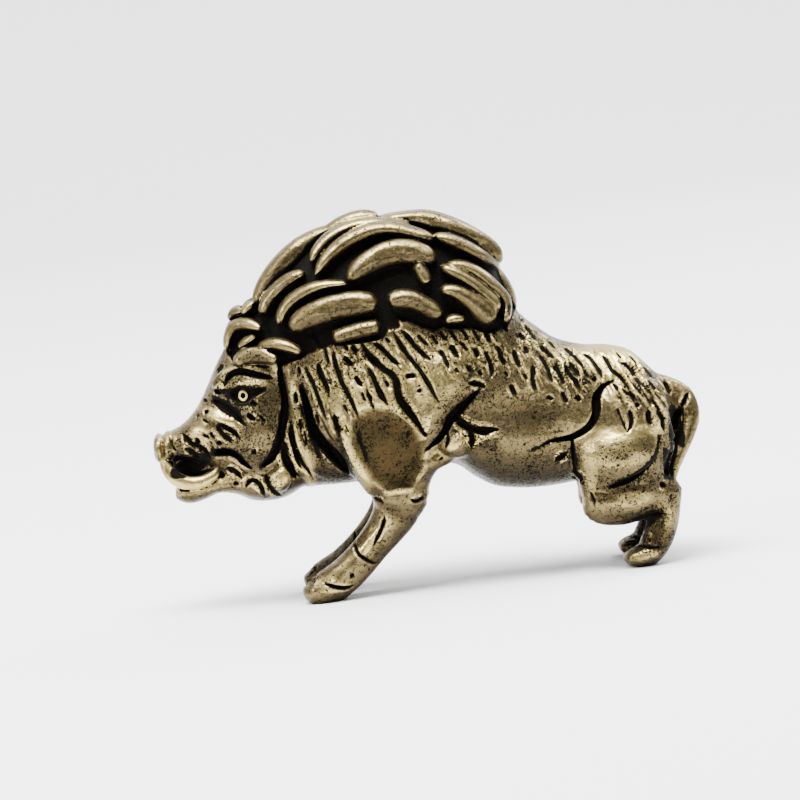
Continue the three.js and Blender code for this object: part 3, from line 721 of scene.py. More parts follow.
# %% Cuts of the neck, the shoulder and the flank
neck_cuts = [
    [(-24.2, 33.5), (-24.4, 31), (-24.2, 29), (-23.5, 27), (-22.6, 25), (-21.5, 22.4)],
    [(-20.5, 42.9), (-19.7, 40.7), (-19.1, 38.5), (-18.6, 36.5), (-18.1, 34.5), (-17.7, 32.5)],
    [(-18.2, 43.6), (-18, 42), (-17.6, 40.5), (-17.1, 39), (-16.8, 37)],
    [(-16.4, 34), (-16, 32), (-15.7, 29.8)],
    [(-15.2, 46), (-15.1, 44), (-14.7, 41.5), (-14.2, 39.3), (-13.4, 37), (-12.6, 34.8), (-12, 33),
     (-11.5, 32)],
    [(-13.4, 44), (-12.6, 43), (-11.7, 42.2)],
    [(-11.7, 45.9), (-11.1, 44.8), (-10.7, 44.2)],
    [(-11.8, 40.3), (-11.2, 39.3), (-10.6, 38.2)],
    [(-9.4, 42), (-8.6, 40), (-8, 38), (-7.2, 36), (-6.5, 34.5)],
    [(-7.9, 46), (-6.5, 44.8), (-5.5, 43.5), (-4.5, 42.2), (-3, 41.1)],
    [(-4, 47.6), (-3, 45.2), (-2, 43.2), (-1, 41.6), (0, 40), (0.8, 38.3), (1.5, 36.8), (2.2, 35),
     (2.9, 33.7)],
    [(-2.4, 47.6), (-1, 45.5), (0, 44), (1, 42.8), (2.3, 41.5), (2.8, 41)],
    [(-2.7, 39.1), (-1.7, 39.2), (-0.7, 38.9)],
    [(-0.8, 36.5), (-0.2, 36.1)],
    [(8.7, 36.6), (10, 36.4), (11.5, 35.5)],
]
broad_cuts = [
    [(-25.8, 30), (-26, 27), (-25.4, 25), (-24.8, 23.4)],
    [(-10, 46.4), (-9.3, 44.6), (-8.5, 43.3), (-7.5, 42.2), (-6.3, 41), (-5.2, 40), (-4.5, 38.9),
     (-4.3, 37.2), (-4.2, 35.6), (-3.4, 33.8),
     (-2.2, 31.8), (-1, 29.6), (-0.2, 28.2)],
    [(5.5, 31.3), (6.2, 30), (7.3, 29), (8.5, 28.2), (10, 27.8), (12.8, 27.8)],
]
flank_cuts = [
    [(12, 42.2), (12.5, 41), (12.9, 39.8), (13, 38.5), (12.8, 37.2)],
    [(12.5, 41), (12.9, 39.8), (13, 38.5)],
    [(29.7, 39.8), (31, 38.8), (32, 37.2), (32.6, 35.7), (32.7, 34.4)],
    [(34.6, 29.6), (35, 28), (35.6, 26), (36, 24.6)],
    [(36.7, 28.7), (37.1, 27.2), (36.8, 25.7), (36.2, 24.6)],
    [(3.7, 43.4), (4.6, 42.2), (5, 41), (5.4, 39.3)],
    [(5.8, 44), (6.5, 43), (7, 42), (7.5, 41.2)],
    [(10.2, 43), (10.7, 41.5), (10.8, 40.8)],
    [(8.7, 40), (9.3, 38.6)],
    [(14.3, 43), (14.8, 41.8), (15.2, 40), (15.8, 38.9)],
    [(17.3, 41.8), (17.7, 40), (18.2, 38.2)],
    [(19.5, 42.2), (19.8, 40.6)],
    [(20.4, 39), (20.5, 37.5), (20.2, 36), (20.4, 34.5), (20.8, 33.4)],
    [(16, 35.7), (16.5, 34.3), (17, 33.2)],
    [(18.7, 44.7), (19.7, 43.3)],
    [(21.8, 41), (22.5, 39.3), (23.2, 37.5), (23.5, 35.8), (24, 34.7)],
    [(24.1, 38.5), (24.9, 37), (25.5, 35.5), (25.8, 34)],
    [(25.2, 33.4), (25.6, 32), (26, 30.8)],
    [(22.2, 32.7), (23.7, 31.9)],
    [(26.2, 38), (27, 36.3), (27.8, 34.8), (28.7, 33)],
    [(27.2, 38.5), (28, 37), (28.8, 35.5)],
    [(26.3, 41.5), (27.5, 40.3), (28.6, 38.8), (30, 36.6)],
    [(22.2, 41.9), (23.3, 40.7), (24.7, 39.2)],
    [(20, 46), (21, 44.4), (22, 42.8)],
    [(19, 48), (19.8, 46.6)],
    [(21.3, 45.6), (22.6, 44), (24.3, 42.2), (25.5, 40.5)],
    [(33.2, 39.3), (34, 38), (34.8, 36), (36, 34.8), (37, 32.8), (37.5, 31.9)],
    [(31, 35.2), (31.7, 34.4)],
    [(36.2, 37.4), (37.8, 36.3), (38.6, 35), (39.2, 33), (39.5, 32.2)],
    [(40, 37.8), (41, 36), (42, 34), (42.7, 33)],
    [(40.8, 34), (42.2, 31.4)],
    [(27.6, 32.3), (28.4, 31.1)],
    [(7.7, 28.5), (8, 27), (7.7, 25.2)],
    [(22.7, 20.9), (24.8, 22.1)],
]
haunch_cuts = [
    [(38.1, 29.6), (38.8, 28.9)],
    [(40.3, 28.2), (40.2, 26.5), (40.6, 25.4)],
    [(41.8, 27.8), (42.5, 26.8), (42.6, 25), (42.7, 24.2)],
    [(41.1, 14.6), (42.2, 14)],
    [(44.3, 33), (45.2, 30.3)],
    [(48.5, 30.5), (46.8, 27.8)],
    [(25.8, 18.6), (26.8, 17.5), (27.2, 16.2)],
]
body_cuts = [
    (neck_cuts, 0.46, 0.3), (broad_cuts, 0.68, 0.4), (flank_cuts, 0.44, 0.27), (haunch_cuts, 0.42, 0.25),
]
wider = 1.15
deeper = 1.3
for cuts, half_width, depth in body_cuts:
    for cut_points in cuts:
        stroke(cut_points, wider * half_width, deeper * depth)
print(len(neck_cuts) + len(broad_cuts) + len(flank_cuts) + len(haunch_cuts), "cuts on the body")

# %% Cuts of the legs and the head
leg_cuts = [
    [(-9.2, 14.3), (-9.8, 12.8), (-10.7, 11.2), (-11.9, 9.3)],
    [(-15.2, 11.5), (-15.3, 10), (-15, 8.5), (-14.5, 7.7), (-13.5, 6.9), (-12.5, 6.2), (-11.5, 6),
     (-10.8, 6.2)],
    [(-11.2, 17.9), (-10.2, 17.6), (-9.2, 16.8)],
    [(-4.3, 16.9), (-3.5, 16.5), (-1.6, 17.2)],
    [(-22.9, 4.9), (-23.8, 4.1), (-24.6, 3.2)],
    [(-21.5, 3.4), (-20.5, 2.9), (-19, 2.4), (-17.5, 2.2), (-16, 2.5)],
    [(-16, 4.6), (-16.8, 3.9)],
    [(33.5, 2.6), (34.5, 3.4), (36, 3.7), (38, 3.2), (40.5, 3)],
    [(38, 9), (39.8, 9.2), (41.5, 9)],
]
face_cuts = [
    [(-44.4, 33.5), (-43.6, 32.4), (-42.8, 31.4), (-41.8, 30.9), (-40.8, 30.2), (-39.6, 28.8)],
    [(-41.8, 32.3), (-41.5, 31.2)],
    [(-44.2, 30.7), (-43, 29.8), (-42, 28.9), (-41.2, 28.4)],
    [(-38.2, 31), (-37.3, 30.9)],
    [(-37.8, 34.3), (-37.2, 33), (-36.3, 31.8), (-35.5, 30.7)],
    [(-37.5, 34.5), (-36, 33.5), (-34.8, 32.6), (-33.8, 31.2)],
    [(-31.2, 37.8), (-30, 37)],
    [(-32, 35.7), (-30.7, 34.3)],
    [(-37.5, 40.7), (-36.5, 39.9)],
    [(-41.3, 36.4), (-40.9, 36.1)],
    [(-39.7, 37.2), (-39.2, 36.6)],
    [(-39.8, 39.3), (-39.2, 38.7)],
    [(-35.5, 45.3), (-36.7, 43.5)],
    [(-37, 26.3), (-35.8, 25.7), (-34.8, 24.7), (-34.5, 24.1)],
    [(-35.4, 23.6), (-35.9, 22.9)],
    [(-34, 22.3), (-33, 23.5), (-32, 23.4), (-31.2, 22.4), (-30.8, 21.1), (-30.5, 20.2)],
    [(-30, 24.5), (-29.6, 22.5), (-28.7, 21), (-27.8, 20.2)],
]
fine_cuts = [
    [(28.3, 14.6), (28.8, 13.2), (28.9, 12.1)],
    [(3.6, 28.4), (3.7, 26.9), (3.1, 25.6)],
    [(1.6, 23.4), (2.6, 23.9)],
    [(-48.2, 32.8), (-48.25, 31.2), (-48.2, 29.5)],
    [(-46.6, 33.2), (-46.2, 31), (-45.5, 30)],
    [(-47.4, 24.7), (-45.6, 23.4), (-43.6, 22.9), (-41.4, 23.1), (-39.5, 23.9), (-38.4, 25),
     (-38, 26.4)],
    [(-29.8, 35.2), (-28.9, 33.8)],
    [(-31.8, 28.9), (-31.2, 28.5)],
    [(-40.4, 35.6), (-39.2, 34.8)],
    [(-36.2, 32.4), (-35.4, 31.2)],
    [(-40.6, 33), (-39.4, 32)],
    [(-39.2, 33.2), (-38.4, 31.6)],
    [(-43.6, 30.9), (-42.4, 29.9), (-41.6, 29.2)],
]
back_hairs = [
    [(-13, 46.2), (-12.4, 45)],
    [(-5.4, 46.4), (-4.6, 45.4)],
    [(0.2, 46.6), (1.2, 45.2), (2.4, 43.8)],
    [(2.8, 46.4), (3.4, 45), (4.2, 43.8)],
    [(4.4, 46.8), (5, 45.4), (5.8, 44.6)],
    [(6.2, 47), (6.8, 45.6), (7.6, 44.4)],
    [(8.4, 46.8), (9, 45.4), (9.6, 44.2)],
    [(10.4, 46.4), (11, 45), (11.6, 43.6)],
    [(12.4, 45.8), (13, 44.4), (13.4, 43.2)],
    [(7.6, 44.6), (8.6, 43.2), (9.2, 42.2)],
    [(-16.6, 46.4), (-16.4, 44.4), (-15.9, 42.4)],
    [(16, 46.6), (16.6, 45)],
    [(13.8, 46.2), (14.4, 44.8)],
    [(23.4, 43.6), (24.4, 42.2)],
    [(28.6, 41.2), (29.6, 39.8)],
    [(31.6, 40.6), (32.4, 39.2)],
    [(35.6, 40), (36.4, 38.6), (37, 37.6)],
    [(38.2, 38.8), (39, 37.4), (39.6, 36)],
    [(42.4, 35), (43.2, 33.2)],
    [(15.2, 38.2), (15.8, 37)],
    [(18.6, 37.4), (19.2, 36)],
    [(10.6, 38.8), (11.2, 37.6)],
    [(6.4, 39.8), (7, 38.6)],
    [(29.6, 36.6), (30.4, 35.2)],
    [(34.6, 33.6), (35.4, 32.2)],
    [(37.4, 31.6), (38.2, 30.4)],
    [(-21.8, 43.2), (-21.6, 41.6)],
    [(-22.8, 38.6), (-22.8, 36.6)],
    [(-19.6, 34.4), (-19.2, 32.2)],
    [(-14.4, 35.6), (-13.8, 33.8)],
    [(-9.8, 37), (-9.2, 35.4)],
    [(-6.4, 39), (-5.8, 37.4)],
]
lock_creases = [
    [(-17, 52.5), (-14, 53.3), (-11, 53.3), (-8, 52.8)],
    [(-6.5, 61), (-3, 61.6), (0.5, 61.2), (3, 60.4)],
    [(-31.6, 45.8), (-29.6, 46.1), (-27.4, 45.8)],
    [(-2.4, 52.8), (0, 52.4), (2.4, 51.2)],
    [(-24, 60.4), (-21, 63), (-18, 65)],
    [(4, 67.3), (8, 65.5), (12, 62.6)],
]
print(len(leg_cuts) + len(face_cuts) + len(fine_cuts), "cuts on the legs and the face")

# %% [markdown]
# Between the cuts the coat has hairs too fine to draw one by one. They are scattered with a fixed
# seed, so every run gives the same coat, and they follow the flow of the hair: upright on the
# neck and leaning back towards the rump. They end below the mane and above the smooth flank.
# Each is one shallow stroke, and they go in before the small cuts, which stay the sharper ones.

# %% Fine hairs and the small cuts
hair_flow = [(-24, 0.1), (-14, 0.3), (-6, 0.5), (4, 0.6), (12, 0.4), (20, 0.45), (30, 0.6), (44, 0.6)]
hair_floor = [
    (-24, 30), (-14, 33), (-4, 40), (4, 40), (10, 39.5), (20, 36), (28, 33), (36, 31), (44, 29),
]
hair_top = [
    (-24, 43), (-14, 46), (-4, 46.5), (8, 46.5), (16, 46), (20, 46), (26, 42), (31, 40.4), (38, 38.6),
    (44, 33),
]
drawn = np.random.default_rng(7)
hairs = []
hair_count = 330
for x in drawn.uniform(-23, 43, hair_count):
    z = drawn.uniform(np.interp(x, *zip(*hair_floor)), np.interp(x, *zip(*hair_top)))
    lean = np.interp(x, *zip(*hair_flow)) + drawn.normal(0, 0.08)
    long = drawn.uniform(1.6, 3.4)
    hairs.append([(x, z), (x + 0.5 * lean * long, z - 0.52 * long), (x + 0.9 * lean * long, z - long)])
for cut_points in hairs:
    stroke(cut_points, 0.26, 0.07, 0.5)
small_cuts = [
    (leg_cuts, 0.34, 0.22), (face_cuts, 0.5, 0.36), (fine_cuts, 0.3, 0.2), (back_hairs, 0.38, 0.24),
    (lock_creases, 0.9, 0.07),
]
for cuts, half_width, depth in small_cuts:
    for cut_points in cuts:
        stroke(cut_points, half_width, depth)
print(len(hairs), "fine hairs and", len(back_hairs), "short cuts on the back")

# %% [markdown]
# ## The eye
# The eye is a tiny punched ring in a dark socket: a round groove, a raised ring and a pit.

# %% The punched eye
eye_x, eye_z = -32.4, 39.0
eye_tall = 0.85
eye_away = np.hypot(sheet_x[:, None] - eye_x * percent, (sheet_z[None, :] - eye_z * percent) * eye_tall)
eye_ring, eye_ring_half = 0.33, 0.13
socket_edge = 0.8
ring = np.exp(-(((eye_away - eye_ring) / eye_ring_half) ** 2))
relief += np.where(eye_away < socket_edge, 0.32 * ring - 0.14, 0)
print("eye ring", eye_ring * 2, "mm across")

# %% [markdown]
# ## Moving the points
# Each point reads the sheet at its place in the drawing and moves along its own normal. Where
# the surface faces up or forward the drawing says nothing about it, so the move fades out.

# %% Helpers that read the sheet and the block
def read_sheet(sheet, x, z):
    """Values of a sheet at places in mm, read between its points."""
    i = np.clip((x - sheet_x[0]) / sheet_step, 0, sheet.shape[0] - 1.001)
    k = np.clip((z - sheet_z[0]) / sheet_step, 0, sheet.shape[1] - 1.001)
    i0, k0 = i.astype(int), k.astype(int)
    fx, fz = i - i0, k - k0
    low_row = sheet[i0, k0] * (1 - fz) + sheet[i0, k0 + 1] * fz
    high_row = sheet[i0 + 1, k0] * (1 - fz) + sheet[i0 + 1, k0 + 1] * fz
    return low_row * (1 - fx) + high_row * fx


def read_block(places, block=None):
    """Distances to the metal at places in mm, read between the block's grains."""
    block = wax if block is None else block
    start = np.array([x_line[0], y_line[0], z_line[0]])
    flipped = places * np.array([1, -1, 1])
    at = (flipped - start) / grain
    at = np.clip(at, 0, np.array(wax.shape) - 1.001)
    base = at.astype(int)
    part = at - base
    total = np.zeros(len(places))
    for corner in range(8):
        step = np.array([corner & 1, (corner >> 1) & 1, (corner >> 2) & 1])
        weight = np.prod(np.where(step, part, 1 - part), axis=1)
        i, j, k = (base + step).T
        total += weight * block[i, j, k]
    return total


def normals_of(places):
    """Outward directions at places near the surface, from the slope of the block."""
    slope = np.zeros_like(places)
    for axis in range(3):
        step = np.zeros(3)
        step[axis] = grain * 0.8
        slope[:, axis] = read_block(places + step) - read_block(places - step)
    return slope / np.maximum(np.linalg.norm(slope, axis=1, keepdims=True), 1e-9)


def drawn_height(places):
    """The height on the sheet, in mm, at which places show in the drawing."""
    return drawn_at(places[:, 2], np.abs(places[:, 1])) * percent


def facing(normals):
    """How squarely a surface faces the side, from 0 to 1."""
    return np.clip((np.abs(normals[:, 1]) - 0.12) / 0.4, 0, 1)


outward = normals_of(points)
heights = read_sheet(relief, points[:, 0], drawn_height(points))
moved = points + outward * (heights * facing(outward))[:, None]
moved[:, 2] = np.maximum(moved[:, 2], 0)
print("points moved by up to", round(float(np.abs(heights).max()), 2), "mm")

# %% [markdown]
# ## A lighter mesh
# The block gives even small faces everywhere, far more than smooth flanks need. The Decimate
# modifier merges them where the surface is calm and keeps them where it is carved. It can leave
# slivers, and the block may hold a closed bubble, so what has no area or hangs loose goes.

# %% The boar's mesh
def mesh_from(name, places, faces):
    """A mesh object in metres from places in mm."""
    mesh = bpy.data.meshes.new(name)
    mesh.from_pydata([], [], [])
    mesh.vertices.add(len(places))
    mesh.vertices.foreach_set("co", (places * millimetre).astype(np.float32).ravel())
    corners = faces.shape[1]
    mesh.loops.add(len(faces) * corners)
    mesh.loops.foreach_set("vertex_index", faces.astype(np.int32).ravel())
    mesh.polygons.add(len(faces))
    mesh.polygons.foreach_set("loop_start", np.arange(0, len(faces) * corners, corners, dtype=np.int32))
    mesh.update(calc_edges=True)
    mesh.validate()
    piece = bpy.data.objects.new(name, mesh)
    bpy.context.scene.collection.objects.link(piece)
    return piece


def tidied(mesh):
    """Merges points that coincide, drops flattened faces and keeps only the largest connected part."""
    work = bmesh.new()
    work.from_mesh(mesh)
    touching = 0.002 * millimetre
    bmesh.ops.remove_doubles(work, verts=work.verts, dist=touching)
    bmesh.ops.dissolve_degenerate(work, edges=work.edges, dist=touching)
    bmesh.ops.triangulate(work, faces=[face for face in work.faces if len(face.verts) > 3])
    work.verts.index_update()
    ends = np.array([[vert.index for vert in edge.verts] for edge in work.edges])
    label = np.arange(len(work.verts))
    while True:
        smaller = label[ends].min(axis=1)
        joined = label.copy()
        np.minimum.at(joined, ends[:, 0], smaller)
        np.minimum.at(joined, ends[:, 1], smaller)
        joined = joined[joined]
        if (joined == label).all():
            break
        label = joined
    main = np.bincount(label).argmax()
    loose = [vert for vert in work.verts if label[vert.index] != main]
    bmesh.ops.delete(work, geom=loose, context="VERTS")
    work.to_mesh(mesh)
    work.free()
    mesh.validate()
    return len(loose)


most_triangles = 192000
boar = mesh_from("cast_boar", moved, quads)
triangles = 2 * len(quads)
lighter = boar.modifiers.new("lighter", "DECIMATE")
lighter.ratio = min(1.0, most_triangles / triangles)
settled = bpy.data.meshes.new_from_object(boar.evaluated_get(bpy.context.evaluated_depsgraph_get()))
boar.modifiers.clear()
print("loose points dropped:", tidied(settled))
boar.data = settled
boar.data.shade_smooth()
print("from", triangles, "to", len(boar.data.loops) - 2 * len(boar.data.polygons), "triangles")

# %% [markdown]
# ## Black in the hollows, bright on the ridges
# The finish comes from the form, so we measure the form: how much metal stands around each
# point (there the black stays) and how freely it sticks out (there the rubbing reached). Both go
# into the mesh as named values that the material reads.

# %% Measuring hollows and ridges
count = len(boar.data.vertices)
places = np.empty(count * 3, dtype=np.float32)
boar.data.vertices.foreach_get("co", places)
places = places.reshape(-1, 3).astype(float) / millimetre
normals = normals_of(places)
closed_in = np.zeros(count)
sticks_out = np.zeros(count)
here = read_block(places)
for distance, weight in [(0.3, 0.2), (0.6, 0.3), (1.1, 0.3), (2.0, 0.2)]:
    closed_in += weight * (1 - (read_block(places + normals * distance) - here) / distance)
    sticks_out += weight * (1 + (read_block(places - normals * distance) - here) / distance)


def blurred(sheet, radius):
    """A sheet smoothed by a few running means."""
    size = max(1, int(round(radius / sheet_step)))
    for axis in (0, 1):
        for _ in range(2):
            padded = np.concatenate([np.repeat(sheet.take([0], axis), size, axis), sheet,
                                     np.repeat(sheet.take([-1], axis), size, axis)], axis)
            total = np.cumsum(padded, axis)
            zero = np.zeros_like(total.take([0], axis))
            total = np.concatenate([zero, total], axis)
            window = 2 * size + 1
            length = sheet.shape[axis]
            past = total.take(range(window, window + length), axis)
            sheet = (past - total.take(range(length), axis)) / window
    return sheet


cut_depth = relief - blurred(relief, 0.5)
squarely = facing(normals)
cut_here = read_sheet(cut_depth, places[:, 0], drawn_height(places)) * squarely
crowded = blurred(np.maximum(-cut_depth, 0), 0.6)
near_cuts = read_sheet(crowded, places[:, 0], drawn_height(places)) * squarely


def store(name, values):
    """Keeps one value for each point of the boar's mesh."""
    layer = boar.data.attributes.new(name, "FLOAT", "POINT")
    layer.data.foreach_set("value", values.astype(np.float32))
    least, most, mean = [round(float(v), 3) for v in (values.min(), values.max(), values.mean())]
    print(name, "from", least, "to", most, "mean", mean)


store("closed_in", np.clip(closed_in, 0, 1))
store("sticks_out", np.clip(sticks_out, 0, 1))
store("cut_depth", np.clip(cut_here, -0.3, 0.3))
store("near_cuts", np.clip(near_cuts * 12, 0, 1))
store("deep", read_sheet(deep, places[:, 0], drawn_height(places)) * squarely)
above_ground = read_block(places, bare_wax)
hanging = np.clip(-normals[:, 2], 0, 1)
# Black stays in the gaps between the locks. Its wider reach on faces that hang down is painted shade
# under the locks.
gap_and_lock_shade = read_block(places, in_mane) * np.clip((0.85 + 0.5 * hanging - above_ground) / 0.55, 0, 1)
store("mane_gap_and_lock_shade", gap_and_lock_shade)

# %% [markdown]
# Some of the finish follows hands and time, not form: soot settles under the brows and in the
# mouth, a brown film in still places, darker ovals hold grime and painted shade, and brighter ones
# hold polish and painted highlights. These are soft ovals over the drawing, each with its centre,
# two half lengths, turn and strength.
# Soot and brown keep to places that face the side or lie sheltered, so that they don't smear
# over the edges, and the inner faces of the legs, seen between them, get painted shade: duller,
# darker brass.

# %% Soot, brown film, grime and painted shade, polish and painted highlights
def spots_at(spots, edge=0.6):
    """Soft ovals over the drawing, the strongest at each point of the mesh."""
    x, z = places[:, 0] / percent, drawn_height(places) / percent
    total = np.zeros(len(places))
    for cx, cz, long, short, turn, amount in spots:
        c, s = math.cos(math.radians(turn)), math.sin(math.radians(turn))
        along = ((x - cx) * c + (z - cz) * s) / long
        aside = (-(x - cx) * s + (z - cz) * c) / short
        total = np.maximum(total, amount * np.clip((1 + edge - np.hypot(along, aside)) / edge, 0, 1))
    return total


soot_spots = [
    (-35.6, 37.2, 2.8, 0.7, -42, 1), (-33.6, 40, 3.2, 0.5, -5, 0.7), (-43.6, 27.4, 3.2, 1.3, 20, 1),
    (-17, 25.8, 0.9, 3, 38, 0.8), (-25.6, 49.4, 3.0, 0.6, -6, 1),
    (45.6, 24.6, 0.9, 3.2, 8, 1), (43, 18, 0.7, 2.4, 8, 1), (-32.4, 39, 1.7, 1.5, 0, 0.8),
    (-20.6, 32, 0.7, 5, 8, 0.7),
    (18.2, 48, 0.8, 2, 20, 0.6),
    (38, 8.2, 3, 1.2, 20, 0.6),
]
brown_spots = [
    (-28, 37.4, 1.8, 1.6, 0, 0.5), (-38.6, 34.4, 1.2, 0.7, 0, 0.6),
    (-22.4, 31, 0.9, 6, 6, 0.5), (-21.6, 62.2, 3.6, 0.9, 38, 0.6), (6, 46.8, 3.4, 1.0, 0, 0.8),
    (39.6, 5, 2.6, 2.2, 30, 0.7),
    (34.4, 13.6, 4, 0.9, 4, 0.5), (12.6, 62.2, 4, 0.7, -36, 0.5),
    (19.6, 29.2, 1.2, 1.6, 0, 0.45), (23.1, 29.4, 1.0, 1.4, 0, 0.4),
]
sheltered = np.maximum(squarely, np.clip((closed_in - 0.25) / 0.3, 0, 1))
sheltered = np.maximum(sheltered, np.clip((1.3 - np.abs(places[:, 1])) / 0.4, 0, 1))
cut_away = read_block(places, wax) - read_block(places, uncut_wax)
in_hole = np.clip((cut_away - 0.1) / 0.15, 0, 1)
store("soot", np.maximum(spots_at(soot_spots) * sheltered, in_hole))
# Painted shade on the faces of the legs that turn in towards the middle, where the far legs show between
# the near ones.
turned_in = np.clip(-normals[:, 1] * np.sign(places[:, 1]) - 0.1, 0, 1)
inner = turned_in * np.clip((np.abs(places[:, 1]) - 0.3) / 0.5, 0, 1)
leg_top = 20
inner = inner * np.clip((leg_top - drawn_height(places) / percent) / 4, 0, 1)
store("inner", inner)
# Darker, duller ovals with more pits, partly grime and partly painted shade.
grime_and_shade_spots = [
    (-31, 36, 6.5, 8, 0, 0.8), (-38, 27, 6, 4, 20, 0.8), (-22, 37, 3.4, 7, 0, 0.7),
    (8, 44, 16, 2.6, -4, 0.7), (-12, 45, 8, 2, 0, 0.6),
    (16, 19.5, 12, 2.6, 0, 0.8), (38.5, 6, 4, 3.6, 0, 1), (-16.5, 24, 3.6, 4, 0, 1),
    (8, 29, 5, 3.6, 0, 0.8), (-44, 31, 3, 2.4, 0, 0.8),
    (44, 18, 2, 8, 0, 0.8), (-9, 39.5, 10, 5, -15, 0.8), (6, 38, 9, 5, 0, 0.7), (34, 17, 7, 5, 0, 0.5),
    (16, 29, 9, 6, 0, 0.5), (28, 36, 3, 4, 30, 0.6), (-20, 8, 6, 1.2, 40, 0.8),
]
# Brighter ovals with fewer pits: polish where hands rub, and painted highlights on the haunch ledge, the
# rump and the upper shoulder.
polish_and_highlight_spots = [
    (-43.6, 24.5, 4.6, 1.5, 0, 0.9), (-37.2, 35.8, 3, 0.7, -32, 0.9), (-13.6, 28, 0.9, 6, 14, 0.8),
    (-9.6, 36.4, 5, 3, -20, 0.5), (-3, 43, 8, 2.4, -6, 0.25), (9, 42.4, 5, 1.8, 0, 0.2),
    (-15.6, 40, 2.4, 5, 10, 0.2), (34, 24.6, 6.4, 0.9, -2, 1), (35, 38.6, 6, 1.8, -8, 0.8),
    (36, 34.5, 4, 2.4, 30, 0.5),
    (28.8, 21, 0.9, 4.6, 0, 0.5), (3, 37.4, 3, 2.4, 30, 0.5), (-1, 37.6, 2, 3.4, 10, 0.6),
    (-22.6, 27, 0.9, 5, 8, 0.6),
]
inside_patch = within(worn_patch, places[:, 0] / percent, drawn_height(places) / percent)
on_patch = np.clip(inside_patch / 1.2 + 0.7, 0, 1)
store("brown", np.maximum(spots_at(brown_spots, 0.25), on_patch) * sheltered)
store("polish_and_highlight", spots_at(polish_and_highlight_spots, 0.7))
store("grime_and_shade", spots_at(grime_and_shade_spots, 0.5))
# Painted shade: faces that hang down, the undersides of the locks most of all, get duller, darker brass.
store("underside_shade", np.clip(hanging * (1 + 1.5 * read_block(places, in_mane)), 0, 1))

# %% [markdown]
# ## Aged brass
# One material holds the whole finish. Rubbed brass is a warm metal with soft, slightly uneven
# gloss. The blackening is nearly matt and has no colour. Between them lies a thin brown film. The
# same dull brass also carries painted shade on faces that hang down and on the inner faces of the
# legs, and darker ovals hold grime and painted shade. Rubbed ridges are brighter, and so are ovals
# of polish that are partly painted highlights. Noise breaks up every edge, and a fine speckle of
# black pits covers all but the proudest ridges.

# %% The material
# The dull brass stands for a thin film and also for painted shade.
dull_and_shaded_brass = (0.057, 0.043, 0.021)
worn_brass = (0.196, 0.15, 0.065)
rubbed_and_highlit_brass = (0.62, 0.485, 0.18)
brown_film = ((0.0245, 0.0148, 0.0056), (0.0205, 0.0152, 0.005))
patina_and_shade_black = (0.006, 0.0055, 0.0045)


